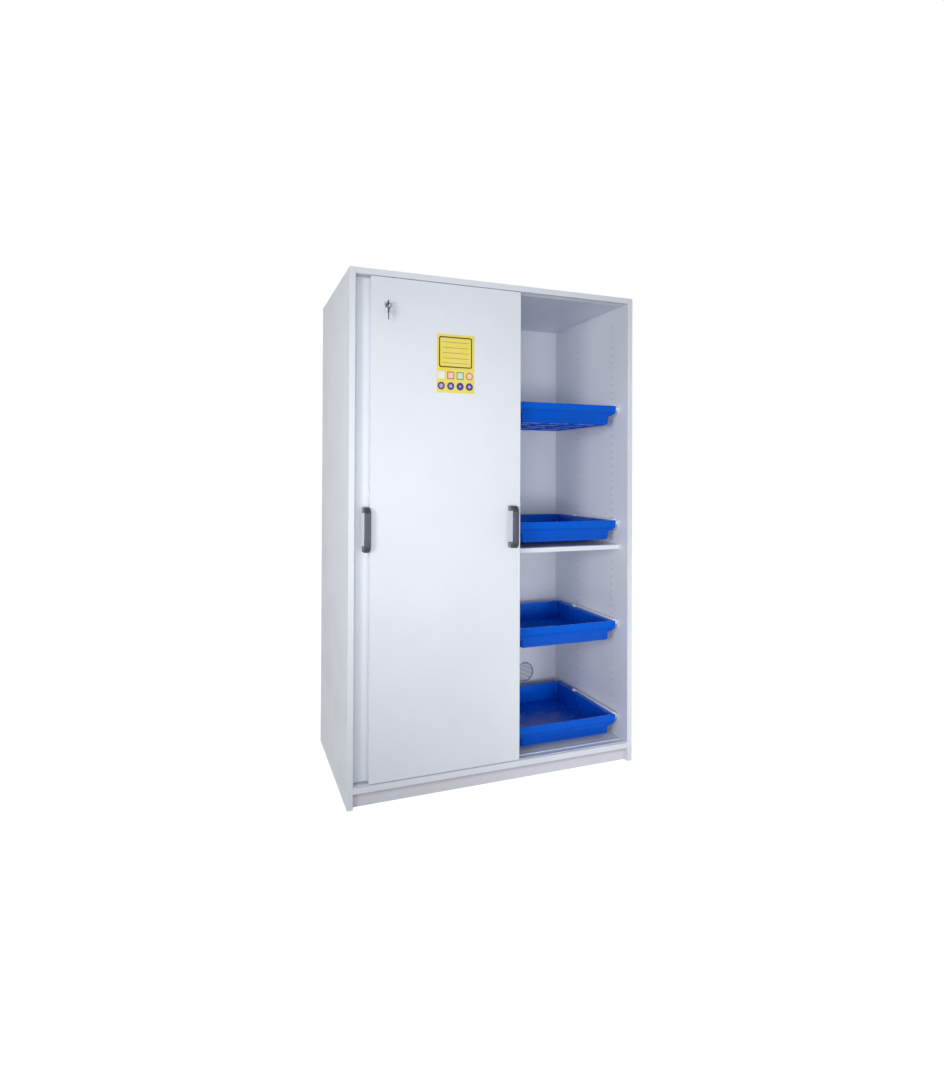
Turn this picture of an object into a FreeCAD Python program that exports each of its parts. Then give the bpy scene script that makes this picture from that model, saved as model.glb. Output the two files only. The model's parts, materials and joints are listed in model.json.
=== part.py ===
import FreeCAD, Part

import os
import re
import Sketcher

# Corrosive storage cabinet: a coated board carcass with two sliding doors and pull-out trays.
# +Z is up, the doors face -Y, and the origin is on the floor at the middle of the whole outline.

Vector = FreeCAD.Vector
doc = FreeCAD.newDocument("corrosive_storage_cabinet")

# Driving sizes in millimetres
sizes = {
    # carcass boards
    "cabinet_width": 1200,
    "cabinet_depth": 600,
    "cabinet_height": 1930,
    "carcass_board": 22,
    "inner_board": 19,
    "plinth_height": 54,
    "plinth_setback": 20,
    "back_board": 8,
    "back_recess": 12,
    "housing_depth": 8,
    "housing_stop": 12,
    "interior_gap": 4,
    "centre_width": 140,
    "shelf_height": 800,
    "edge_break": 0.8,
    # vent in the back
    "vent_bore": 90,
    "vent_height": 134,
    "vent_from_side": 173,
    "grille_diameter": 96,
    "grille_opening": 84,
    "grille_thickness": 2.5,
    "grille_bar": 3,
    "grille_pitch": 10,
    "grille_bars": 9,
    # sliding doors
    "door_board": 19,
    "door_overlap": 48,
    "door_setback": 2,
    "door_gap": 10,
    "door_side_play": 2,
    "door_top_play": 2,
    "door_bottom_play": 4,
    "door_rest_play": 2,
    "mortise_width": 12,
    # tracks
    "track_margin": 1,
    "channel_width": 8,
    "channel_depth": 10.5,
    "channel_roof": 1.5,
    "channel_wall": 1.5,
    "rail_base": 1,
    "rail_rib_width": 3,
    "rail_rib_height": 2,
    # door wheels, their carriages and the guides at the top
    "wheel_inset": 75,
    "wheel_diameter": 24,
    "wheel_width": 7,
    "rolling_play": 0.3,
    "wheel_axle": 5,
    "wheel_side_play": 0.5,
    "axle_play": 0.05,
    "carriage_length": 70,
    "carriage_height": 32,
    "slot_length": 29,
    "slot_height": 26,
    "guide_inset": 60,
    "guide_length": 40,
    "guide_depth": 20,
    "guide_tongue": 36,
    "guide_reach": 9,
    "guide_thickness": 7,
    "guide_lead": 2,
    # handles
    "handle_inset": 42,
    "handle_width": 22,
    "handle_reach": 53,
    "handle_length": 162,
    "handle_bar": 11,
    "handle_foot": 20,
    "handle_height": 990,
    "handle_outer_round": 16,
    "handle_inner_round": 6,
    "handle_edge": 3,
    # cylinder lock and keys
    "lock_inset": 58,
    "lock_drop": 100,
    "barrel_diameter": 18,
    "barrel_play": 0.1,
    "rosette_diameter": 25,
    "rosette_thickness": 2.5,
    "plug_diameter": 12,
    "cam_play": 0.6,
    "cam_thickness": 2.5,
    "cam_hub": 18,
    "cam_arm": 12,
    "cam_reach": 27,
    "catch_thickness": 1.5,
    "catch_play": 1,
    "catch_hold": 14,
    "catch_rise": 14,
    "catch_height": 20,
    "key_thickness": 2,
    "key_blade_height": 6.4,
    "key_blade_length": 20,
    "key_bow": 22,
    "key_bow_corner": 6,
    "key_hole": 5,
    "key_hole_edge": 2.5,
    "key_standoff": 5,
    "key_cut_depth": 1.6,
    "key_cut_pitch": 3.6,
    "key_cuts": 4,
    "keyway_play": 0.2,
    "ring_diameter": 17,
    "ring_wire": 1.8,
    "ring_play": 0.3,
    # plain card on the front door
    "card_width": 152,
    "card_height": 220,
    "card_thickness": 0.8,
    "card_inset": 250,
    "card_drop": 189,
    # trays: two in each half of a column, measured from the board below to the top of the rim
    "low_tray_rise": 100,
    "second_tray_rise": 496,
    "third_tray_rise": 103,
    "top_tray_rise": 590,
    "slide_space": 18,
    "tray_recess": 3,
    "tray_back_gap": 83,
    "tray_height": 82,
    "tray_wall": 3,
    "tray_draft": 5,
    "tray_corner": 10,
    "tray_flange": 26,
    "tray_lip": 29,
    "tray_back_rim": 12,
    "rim_band": 26,
    "band_proud": 2,
    "ear_chamfer_wide": 23,
    "ear_chamfer_high": 15,
    "tray_rib": 2.5,
    "tray_rib_height": 4,
    "ribs_across": 5,
    "ribs_along": 4,
    # roller slides of the trays
    "sheet_thickness": 1.2,
    "runner_length": 300,
    "runner_start": 6,
    "runner_play": 0.3,
    "runner_ledge": 15,
    "runner_top": 6,
    "tab_width": 20,
    "tab_length": 16,
    "roller_diameter": 20,
    "roller_width": 6,
    "roller_play": 0.3,
    "rear_roller_inset": 14,
    "rear_roller_drop": 18,
    "front_roller_inset": 12,
    "rail_mouth": 30,
    "rail_side_play": 0.9,
}

# Sizes that follow from the driving ones
derived = {
    "front": "(handle_reach - door_setback - cabinet_depth) / 2",
    "inner_half": "cabinet_width / 2 - carcass_board",
    "floor_top": "plinth_height + carcass_board",
    "ceiling": "cabinet_height - carcass_board",
    "shelf_underside": "floor_top + shelf_height",
    "shelf_top": "shelf_underside + inner_board",
    "back_depth": "cabinet_depth - back_recess - back_board",
    "interior_setback": "door_setback + 2 * door_board + door_gap + interior_gap",
    "upright_inner": "centre_width / 2",
    "column_width": "inner_half - upright_inner",
    "column_centre": "inner_half - column_width / 2",
    "vent_x": "inner_half - vent_from_side",
    "vent_z": "floor_top + vent_height",
    "door_width": "inner_half - door_side_play + door_overlap / 2",
    "front_door_y": "front + door_setback",
    "rear_door_y": "front_door_y + door_board + door_gap",
    "door_bottom": "floor_top + door_bottom_play",
    "door_top": "ceiling - door_top_play",
    "door_height": "door_top - door_bottom",
    "rear_door_left": "door_side_play - inner_half",
    "front_door_left": "rear_door_left + handle_inset + handle_width / 2 + door_rest_play",
    "track_depth": "2 * door_board + door_gap - 2 * track_margin",
    "track_start": "door_setback + track_margin",
    "track_line_front": "door_board / 2 - track_margin",
    "track_line_rear": "track_line_front + door_board + door_gap",
    "track_height": "channel_depth + channel_roof",
    "wheel_height": "floor_top + rail_base + rail_rib_height + rolling_play + wheel_diameter / 2",
    "lock_x": "front_door_left + lock_inset",
    "lock_z": "door_top - lock_drop",
    "cam_start": "door_board + cam_play",
    "catch_reach": "door_gap - catch_play",
    "rosette_front": "front_door_y - rosette_thickness",
    "key_hole_y": "key_standoff + key_bow - key_hole_edge - key_hole / 2",
    "ring_drop": "(key_hole - ring_wire) / 2 - ring_play",
    "ring_top": "lock_z - ring_drop",
    "tray_y": "front + interior_setback + tray_recess",
    "tray_width": "column_width - 2 * slide_space",
    "tray_length": "back_depth - interior_setback - tray_recess - tray_back_gap",
    "rim_edge": "tray_width / 2",
    "tub_half": "rim_edge - tray_flange",
    "tub_depth": "tray_height - tray_rib_height",
    "web_inner": "rim_edge + runner_play",
    "web_outer": "web_inner + sheet_thickness",
    "runner_end": "runner_start + runner_length",
    "rear_roller_y": "runner_end - rear_roller_inset",
    "front_roller_y": "runner_start + front_roller_inset",
    "front_roller_drop": "roller_diameter / 2 + rolling_play",
    "wall_half": "column_width / 2",
    "plate_face": "wall_half - sheet_thickness",
    "front_roller_x": "web_outer + roller_play",
    "rail_open_side": "web_outer + rail_side_play",
    "channel_low": "rear_roller_drop + roller_diameter / 2 + rolling_play",
    "channel_high": "rear_roller_drop - roller_diameter / 2 - rolling_play",
}

sheet = doc.addObject("Spreadsheet::Sheet", "Sizes")
for row, (alias, size) in enumerate(sizes.items(), 1):
    sheet.set(f"A{row}", alias.replace("_", " "))
    sheet.set(f"B{row}", str(size))
    sheet.setAlias(f"B{row}", alias)
doc.recompute()


def cells(text):
    """Turn a formula in plain words into one that names the sheet's cells."""
    def cell(match):
        word = match.group(0)
        if word in derived:
            return "(" + cells(derived[word]) + ")"
        return "Sizes." + word if word in sizes else word
    return re.sub(r"[a-z][a-z_0-9]*", cell, text)


def number(text):
    """The value of a formula at the sheet's present sizes."""
    return float(sheet.evalExpression(cells(text)))


def bind(item, **formulas):
    """Tie properties to formulas, with a double underscore for each dot in a property's path."""
    for path, text in formulas.items():
        item.setExpression(path.replace("__", "."), cells(text))


def place(item, x="0", y="0", z="0"):
    bind(item, Placement__Base__x=x, Placement__Base__y=y, Placement__Base__z=z)
    return item


sub_parts = []


def keep(item, label):
    """Give a finished sub-part its name and put it on the list of files."""
    item.Label = label
    sub_parts.append(item)
    return item


# Sketches

normals = {"XY_Plane": "+Z", "XZ_Plane": "-Y", "YZ_Plane": "+X"}


def new_body(label, x="0", y="0", z="0"):
    body = doc.addObject("PartDesign::Body", label + "_body")
    return place(body, x, y, z)


def lay_on(item, body, plane):
    """Attach a sketch or a primitive to one of its body's own planes."""
    origin_plane = [feature for feature in body.Origin.OriginFeatures if feature.Role == plane][0]
    item.AttachmentSupport = (origin_plane, [""])
    item.MapMode = "FlatFace"


def new_sketch(body, plane, offset="0"):
    """A sketch parallel to one of the body's own planes, at a coordinate along that plane's axis."""
    sketch = body.newObject("Sketcher::SketchObject", body.Name + "_sketch")
    lay_on(sketch, body, plane)
    sign = "-1" if plane == "XZ_Plane" else "1"
    sketch.setExpression("AttachmentOffset.Base.z", cells(f"{sign} * ({offset})"))
    return sketch


def add_size(sketch, constraint, text):
    """Add a dimension to a sketch and tie it to a formula."""
    index = sketch.addConstraint(constraint)
    name = f"size_{index}"
    sketch.renameConstraint(index, name)
    sketch.setExpression("Constraints." + name, cells(text))


def pin_point(sketch, geometry, point, across, up):
    """Hold one point of a sketch at two coordinates."""
    for kind, text in (("DistanceX", across), ("DistanceY", up)):
        add_size(sketch, Sketcher.Constraint(kind, -1, 1, geometry, point, number(text)), text)


def add_polygon(sketch, corners):
    first = sketch.GeometryCount
    points = [Vector(number(across), number(up), 0) for across, up in corners]
    count = len(points)
    for index in range(count):
        sketch.addGeometry(Part.LineSegment(points[index], points[(index + 1) % count]), False)
    for index in range(count):
        following = first + (index + 1) % count
        sketch.addConstraint(Sketcher.Constraint("Coincident", first + index, 2, following, 1))
    for index, (across, up) in enumerate(corners):
        pin_point(sketch, first + index, 1, across, up)


def add_rectangle(sketch, left, low, right, high):
    add_polygon(sketch, [(left, low), (right, low), (right, high), (left, high)])


def add_circle(sketch, across, up, diameter):
    centre = Vector(number(across), number(up), 0)
    index = sketch.addGeometry(Part.Circle(centre, Vector(0, 0, 1), number(diameter) / 2), False)
    pin_point(sketch, index, 3, across, up)
    add_size(sketch, Sketcher.Constraint("Diameter", index, number(diameter)), diameter)


# Solid features

def pad(body, sketch, plane, depth, along, both_ways=False):
    feature = body.newObject("PartDesign::Pad", body.Name + "_pad")
    feature.Profile = sketch
    feature.setExpression("Length", cells(depth))
    feature.Midplane = both_ways
    feature.Reversed = along != normals[plane] and not both_ways
    return feature


def pocket(body, sketch, plane, depth, along):
    """Cut a sketch out of the body, and make sure that something was cut."""
    doc.recompute()
    before = body.Shape.Volume
    feature = body.newObject("PartDesign::Pocket", body.Name + "_pocket")
    feature.Profile = sketch
    feature.setExpression("Length", cells(depth))
    feature.Reversed = along == normals[plane]
    doc.recompute()
    if body.Shape.Volume > before - 0.1:
        raise ValueError(body.Name + ": a pocket cut nothing")
    return feature


def turn(body, corners):
    """Revolve a profile, given as radius and distance along Y, about the body's Y axis."""
    profile = new_sketch(body, "XY_Plane")
    add_polygon(profile, corners)
    feature = body.newObject("PartDesign::Revolution", body.Name + "_turn")
    feature.Profile = profile
    feature.ReferenceAxis = (profile, ["V_Axis"])
    feature.Angle = 360
    return feature


def repeat(body, feature, sketch, axis, span, count):
    """Repeat a feature in a straight row along one of its sketch's axes."""
    doc.recompute()
    row = body.newObject("PartDesign::LinearPattern", body.Name + "_row")
    row.Originals = [feature]
    row.Direction = (sketch, [axis])
    bind(row, Length=span, Occurrences=count)
    body.Tip = row
    doc.recompute()


def dress(body, kind, base, size, wanted):
    """Fillet or chamfer the edges of a feature whose middle point passes a test."""
    doc.recompute()
    names = []
    for index, edge in enumerate(base.Shape.Edges, 1):
        if wanted(edge.valueAt((edge.FirstParameter + edge.LastParameter) / 2), edge.Length):
            names.append(f"Edge{index}")
    feature = body.newObject("PartDesign::" + kind, body.Name + "_" + kind)
    feature.Base = (base, names)
    feature.setExpression("Radius" if kind == "Fillet" else "Size", cells(size))
    return feature


def same(value, target):
    return abs(value - target) < 0.001


def block(label, x, y, z, length, width, height):
    """A body that starts as a plain block, placed by its low corner."""
    body = new_body(label, x, y, z)
    sketch = new_sketch(body, "XY_Plane")
    add_rectangle(sketch, "0", "0", length, width)
    return body, pad(body, sketch, "XY_Plane", height, "+Z")


# Copies and groups

def mirrored(source, x="0"):
    """The mirror image of a placed shape in an upright plane across X."""
    image = doc.addObject("Part::Mirroring", source.Name + "_mirrored")
    image.Source = source
    image.Normal = Vector(1, 0, 0)
    bind(image, Base__x=x)
    return image


def together(name, items, z="0"):
    """Separate solids as one object, raised as a whole."""
    compound = doc.addObject("Part::Compound", name + "_group")
    compound.Links = items
    return place(compound, z=z)


# Carcass boards

def ease_front(body, feature, board):
    """Take the sharp corners off the long front edges of a board."""
    dress(body, "Chamfer", feature, "edge_break",
          lambda point, length: same(point.y, 0) and length > 2 * number(board))


def side_panel(side):
    """An outer side: housings for the boards that it holds, and a groove for the back."""
    label = "side_panel_" + side
    left = "-cabinet_width / 2" if side == "left" else "inner_half"
    body, feature = block(label, left, "front", "0", "carcass_board", "cabinet_depth", "cabinet_height")
    ease_front(body, feature, "carcass_board")
    face, inward = ("carcass_board", "-X") if side == "left" else ("0", "+X")
    housings = new_sketch(body, "YZ_Plane", face)
    for low, board, front, back in (("plinth_height", "carcass_board", "0", "cabinet_depth"),
                                    ("ceiling", "carcass_board", "0", "cabinet_depth"),
                                    ("shelf_underside", "inner_board", "interior_setback", "back_depth")):
        add_rectangle(housings, f"{front} + housing_stop", low, back, f"{low} + {board} / 2")
    pocket(body, housings, "YZ_Plane", "housing_depth", inward)
    groove = new_sketch(body, "YZ_Plane", face)
    add_rectangle(groove, "back_depth", "floor_top - housing_depth",
                  "back_depth + back_board", "ceiling + housing_depth")
    pocket(body, groove, "YZ_Plane", "housing_depth", inward)
    return keep(body, label)


def tongued_board(label, left, setback, z, length, depth, board):
    """A level board with a stopped tongue at each end, half as thick as the board."""
    body, feature = block(label, left, f"front + {setback}", z, length, depth, board)
    ease_front(body, feature, board)
    tongues = new_sketch(body, "XY_Plane")
    add_rectangle(tongues, "-housing_depth", "housing_stop", "0", depth)
    add_rectangle(tongues, length, "housing_stop", f"{length} + housing_depth", depth)
    pad(body, tongues, "XY_Plane", f"{board} / 2", "+Z")
    return body


def carcass_board(label, z):
    """The top or the bottom of the carcass."""
    return tongued_board(label, "-inner_half", "0", z, "2 * inner_half", "cabinet_depth", "carcass_board")


def back_groove(body, face, along):
    groove = new_sketch(body, "XY_Plane", face)
    add_rectangle(groove, "-housing_depth", "back_depth",
                  "2 * inner_half + housing_depth", "back_depth + back_board")
    pocket(body, groove, "XY_Plane", "housing_depth", along)


def bottom_panel():
    body = carcass_board("bottom_panel", "plinth_height")
    back_groove(body, "carcass_board", "-Z")
    return keep(body, "bottom_panel")


def top_panel():
    """The top, with a recess for the door track in its underside."""
    body = carcass_board("top_panel", "ceiling")
    back_groove(body, "0", "+Z")
    recess = new_sketch(body, "XY_Plane")
    add_rectangle(recess, "0", "track_start", "2 * inner_half", "track_start + track_depth")
    pocket(body, recess, "XY_Plane", "track_height", "+Z")
    return keep(body, "top_panel")


def plinth():
    """The front and rear rails that the carcass stands on."""
    rails = [block("plinth_rail", "-inner_half", y, "0", "2 * inner_half", "inner_board", "plinth_height")[0]
             for y in ("front + plinth_setback", "front + back_depth - inner_board")]
    return keep(together("plinth", rails), "plinth")


def back_panel():
    """The back, let into grooves all round, with the round vent."""
    body, feature = block("back_panel", "-inner_half - housing_depth", "front + back_depth",
                          "floor_top - housing_depth", "2 * (inner_half + housing_depth)", "back_board",
                          "ceiling - floor_top + 2 * housing_depth")
    vent = new_sketch(body, "XZ_Plane")
    add_circle(vent, "inner_half + housing_depth + vent_x", "vent_z - floor_top + housing_depth", "vent_bore")
    pocket(body, vent, "XZ_Plane", "back_board", "+Y")
    return keep(body, "back_panel")


def upright(side):
    """A full-height board between a column of trays and the middle of the cabinet."""
    label = "upright_" + side
    left = "-upright_inner" if side == "left" else "upright_inner - inner_board"
    body, feature = block(label, left, "front + interior_setback", "floor_top", "inner_board",
                          "back_depth - interior_setback", "ceiling - floor_top")
    ease_front(body, feature, "inner_board")
    face, inward = ("0", "+X") if side == "left" else ("inner_board", "-X")
    housing = new_sketch(body, "YZ_Plane", face)
    add_rectangle(housing, "housing_stop", "shelf_height", "back_depth - interior_setback",
                  "shelf_height + inner_board / 2")
    pocket(body, housing, "YZ_Plane", "housing_depth", inward)
    return keep(body, label)


def shelf(side):
    left = "-inner_half" if side == "left" else "upright_inner"
    body = tongued_board("shelf_" + side, left, "interior_setback", "shelf_underside",
                         "column_width", "back_depth - interior_setback", "inner_board")
    return keep(body, "shelf_" + side)


def centre_filler():
    """The narrow front board that closes the space between the two uprights."""
    body, feature = block("centre_filler", "inner_board - upright_inner", "front + interior_setback",
                          "floor_top", "2 * (upright_inner - inner_board)", "inner_board",
                          "ceiling - floor_top")
    return keep(body, "centre_filler")


for side in ("left", "right"):
    side_panel(side)
    upright(side)
    shelf(side)
bottom_panel()
top_panel()
plinth()
back_panel()
centre_filler()


# Vent grille: a ring filled with crossing bars

def vent_grille():
    body = new_body("vent_grille", "vent_x", "front + back_depth", "vent_z")
    ring = new_sketch(body, "XZ_Plane")
    add_circle(ring, "0", "0", "grille_diameter")
    add_circle(ring, "0", "0", "grille_opening")
    pad(body, ring, "XZ_Plane", "grille_thickness", "-Y")
    reach = "(grille_bars - 1) / 2 * grille_pitch"
    span = "(grille_diameter + grille_opening) / 4"
    for axis in ("H_Axis", "V_Axis"):
        bar = new_sketch(body, "XZ_Plane")
        first = (f"-grille_bar / 2 - {reach}", f"-{span}", f"grille_bar / 2 - {reach}", span)
        if axis == "V_Axis":
            first = (f"-{span}", f"-grille_bar / 2 - {reach}", span, f"grille_bar / 2 - {reach}")
        add_rectangle(bar, *first)
        feature = pad(body, bar, "XZ_Plane", "grille_thickness", "-Y")
        repeat(body, feature, bar, axis, "(grille_bars - 1) * grille_pitch", "grille_bars")
    trim = new_sketch(body, "XZ_Plane")
    add_circle(trim, "0", "0", "grille_diameter")
    add_circle(trim, "0", "0", "2 * grille_diameter")
    pocket(body, trim, "XZ_Plane", "grille_thickness", "-Y")
    return keep(body, "vent_grille")


vent_grille()


# Sliding door tracks

track_lines = ["track_line_front", "track_line_rear"]


def top_track():
    """A channel extrusion let into the top board, with one slot for each door's guides."""
    body, feature = block("top_track", "-inner_half", "front + track_start", "ceiling",
                          "2 * inner_half", "track_depth", "track_height")
    slots = new_sketch(body, "YZ_Plane")
    half = "channel_width / 2"
    for line in track_lines:
        add_rectangle(slots, f"{line} - {half}", "0", f"{line} + {half}", "channel_depth")
    wall = "(channel_width / 2 + channel_wall)"
    add_rectangle(slots, f"track_line_front + {wall}", "0", f"track_line_rear - {wall}", "channel_depth")
    pocket(body, slots, "YZ_Plane", "2 * inner_half", "+X")
    return keep(body, "top_track")


def bottom_track():
    """A low extrusion on the bottom board, with one rib for each door's wheels."""
    body, feature = block("bottom_track", "-inner_half", "front + track_start", "floor_top",
                          "2 * inner_half", "track_depth", "rail_base")
    ribs = new_sketch(body, "YZ_Plane")
    for line in track_lines:
        add_rectangle(ribs, f"{line} - rail_rib_width / 2", "0", f"{line} + rail_rib_width / 2",
                      "rail_base + rail_rib_height")
    pad(body, ribs, "YZ_Plane", "2 * inner_half", "+X")
    return keep(body, "bottom_track")


top_track()
bottom_track()


# Sliding doors

def door(name, left, y):
    """A door board with mortises for its wheel carriages below and its guides above."""
    body = new_body(name + "_door", left, y, "door_bottom")
    face = new_sketch(body, "XZ_Plane")
    add_rectangle(face, "0", "0", "door_width", "door_height")
    feature = pad(body, face, "XZ_Plane", "door_board", "+Y")
    dress(body, "Chamfer", feature, "edge_break",
          lambda point, length: same(point.y, 0) or same(point.y, number("door_board")))
    for inset, length, depth, z, along in (
            ("wheel_inset", "carriage_length", "carriage_height", "0", "+Z"),
            ("guide_inset", "guide_length", "guide_depth", "door_height", "-Z")):
        mortises = new_sketch(body, "XY_Plane", z)
        for middle in (inset, f"(door_width - {inset})"):
            add_rectangle(mortises, f"{middle} - {length} / 2", "(door_board - mortise_width) / 2",
                          f"{middle} + {length} / 2", "(door_board + mortise_width) / 2")
        pocket(body, mortises, "XY_Plane", depth, along)
    return body


def both_ends(label, left, inset, make):
    """The same fitting at both ends of a door, as one sub-part."""
    items = [make(label, f"{left} + {middle}") for middle in (inset, f"door_width - {inset}")]
    return keep(together(label, items), label)


def carriage(label, x, y):
    """A moulded housing in the door's lower edge, with the axle of its wheel."""
    body = new_body(label, x, f"{y} + door_board / 2", "door_bottom")
    shell = new_sketch(body, "XY_Plane")
    add_rectangle(shell, "-carriage_length / 2", "-mortise_width / 2",
                  "carriage_length / 2", "mortise_width / 2")
    pad(body, shell, "XY_Plane", "carriage_height", "+Z")
    slot = new_sketch(body, "XY_Plane")
    side = "(wheel_width / 2 + wheel_side_play)"
    add_rectangle(slot, "-slot_length / 2", f"-{side}", "slot_length / 2", side)
    pocket(body, slot, "XY_Plane", "slot_height", "+Z")
    axle = new_sketch(body, "XZ_Plane")
    add_circle(axle, "0", "wheel_height - door_bottom", "wheel_axle")
    pad(body, axle, "XZ_Plane", "mortise_width", "+Y", both_ways=True)
    return body


def guide(label, x, y):
    """A moulded block in the door's upper edge, with a tongue that runs in the top track."""
    body = new_body(label, x, f"{y} + door_board / 2", "door_top")
    root = new_sketch(body, "XY_Plane")
    add_rectangle(root, "-guide_length / 2", "-mortise_width / 2",
                  "guide_length / 2", "mortise_width / 2")
    pad(body, root, "XY_Plane", "guide_depth", "-Z")
    tongue = new_sketch(body, "XY_Plane")
    end = "guide_tongue / 2"
    side = "guide_thickness / 2"
    lead = "guide_lead"
    add_polygon(tongue, [(f"-{end}", f"-{side} + {lead}"), (f"-{end} + {lead}", f"-{side}"),
                         (f"{end} - {lead}", f"-{side}"), (end, f"-{side} + {lead}"),
                         (end, f"{side} - {lead}"), (f"{end} - {lead}", side),
                         (f"-{end} + {lead}", side), (f"-{end}", f"{side} - {lead}")])
    pad(body, tongue, "XY_Plane", "door_top_play + guide_reach", "+Z")
    return body


def wheel(label, x, y):
    """A wheel that rolls on a rib of the bottom track."""
    body = new_body(label, x, f"{y} + door_board / 2", "wheel_height")
    face = new_sketch(body, "XZ_Plane")
    add_circle(face, "0", "0", "wheel_diameter")
    add_circle(face, "0", "0", "wheel_axle + 2 * axle_play")
    pad(body, face, "XZ_Plane", "wheel_width", "+Y", both_ways=True)
    return keep(body, label)


def handle(label, x, y):
    """A bow handle on two feet, with rounded corners and eased edges."""
    body = new_body(label, x, y, "handle_height")
    outline = new_sketch(body, "YZ_Plane")
    high = "handle_length / 2"
    inner = "(handle_length / 2 - handle_foot)"
    grip = "handle_bar - handle_reach"
    add_polygon(outline, [("0", f"-{high}"), ("0", f"-{inner}"), (grip, f"-{inner}"), (grip, inner),
                          ("0", inner), ("0", high), ("-handle_reach", high), ("-handle_reach", f"-{high}")])
    bow = pad(body, outline, "YZ_Plane", "handle_width", "+X", both_ways=True)
    outer = dress(body, "Fillet", bow, "handle_outer_round",
                  lambda point, length: same(point.x, 0) and same(point.y, number("-handle_reach")))
    bend = dress(body, "Fillet", outer, "handle_inner_round",
                 lambda point, length: same(point.x, 0) and same(point.y, number(grip)))
    side = number("handle_width / 2")
    bar_middle = number("handle_bar / 2 - handle_reach")
    foot_middle = number("(handle_length - handle_foot) / 2")

    def outside(point, length):
        """The side edges round the outside of the bow, apart from those that lie on the door."""
        outer = point.y < bar_middle or abs(point.z) > foot_middle
        return outer and same(abs(point.x), side) and not same(point.y, 0)

    dress(body, "Chamfer", bend, "handle_edge", outside)
    return keep(body, label)


def hung_door(name, left, y, handle_x, lock=False):
    """A door with its handle, carriages, wheels and guides."""
    body = door(name, left, y)
    if lock:
        hole = new_sketch(body, "XZ_Plane")
        add_circle(hole, "lock_inset", "lock_z - door_bottom", "barrel_diameter + 2 * barrel_play")
        pocket(body, hole, "XZ_Plane", "door_board", "+Y")
    keep(body, name + "_door")
    handle(name + "_handle", f"{left} + {handle_x}", y)
    both_ends(name + "_carriages", left, "wheel_inset", lambda label, x: carriage(label, x, y))
    both_ends(name + "_guides", left, "guide_inset", lambda label, x: guide(label, x, y))
    wheel(name + "_wheel_left", f"{left} + wheel_inset", y)
    wheel(name + "_wheel_right", f"{left} + door_width - wheel_inset", y)


def label_card():
    """A plain card on the front door."""
    body, feature = block("label_card", "front_door_left + card_inset", "front_door_y - card_thickness",
                          "door_top - card_drop - card_height", "card_width", "card_thickness", "card_height")
    return keep(body, "label_card")


hung_door("rear", "rear_door_left", "rear_door_y", "handle_inset")
hung_door("front", "front_door_left", "front_door_y", "door_width - handle_inset", lock=True)
label_card()


# Lock: a barrel through the front door, a plug with a cam behind it, and the catch on the rear door

def lock_barrel():
    """The fixed barrel, whose bore holds the plug."""
    body = new_body("lock_barrel", "lock_x", "front_door_y", "lock_z")
    bore = "plug_diameter / 2 + axle_play"
    turn(body, [(bore, "-rosette_thickness"), ("rosette_diameter / 2", "-rosette_thickness"),
                ("rosette_diameter / 2", "0"), ("barrel_diameter / 2", "0"),
                ("barrel_diameter / 2", "door_board"), (bore, "door_board")])
    return keep(body, "lock_barrel")


def lock_plug():
    """The turning plug, with its keyway in front and the cam on its rear end."""
    body = new_body("lock_plug", "lock_x", "rosette_front", "lock_z")
    round_end = new_sketch(body, "XZ_Plane")
    add_circle(round_end, "0", "0", "plug_diameter")
    pad(body, round_end, "XZ_Plane", "rosette_thickness + cam_start + 2 * cam_thickness", "+Y")
    keyway = new_sketch(body, "XZ_Plane")
    wide = "(key_thickness / 2 + keyway_play)"
    high = "(key_blade_height / 2 + keyway_play)"
    add_rectangle(keyway, f"-{wide}", f"-{high}", wide, high)
    pocket(body, keyway, "XZ_Plane", "key_blade_length + keyway_play", "+Y")
    return keep(body, "lock_plug")


def lock_cam():
    """The arm behind the door, which turns up beside the catch."""
    body = new_body("lock_cam", "lock_x", "front_door_y + cam_start", "lock_z")
    plate = new_sketch(body, "XZ_Plane")
    hub = "cam_hub / 2"
    arm = "cam_arm / 2"
    add_polygon(plate, [(f"-{hub}", f"-{arm}"), (f"-{arm}", f"-{hub}"), (arm, f"-{hub}"), (hub, f"-{arm}"),
                        ("cam_reach", f"-{arm}"), (f"cam_reach + {arm} / 2", f"-{arm} / 2"),
                        (f"cam_reach + {arm} / 2", f"{arm} / 2"), ("cam_reach", arm),
                        (hub, arm), (arm, hub), (f"-{arm}", hub), (f"-{hub}", arm)])
    add_circle(plate, "0", "0", "plug_diameter")
    pad(body, plate, "XZ_Plane", "cam_thickness", "+Y")
    return keep(body, "lock_cam")


def lock_catch():
    """The strip on the rear door's edge that the cam's arm closes on."""
    body, feature = block("lock_catch", "rear_door_left + door_width", "rear_door_y - catch_reach",
                          "lock_z + catch_rise", "catch_thickness", "catch_reach + catch_hold",
                          "catch_height")
    return keep(body, "lock_catch")


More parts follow.
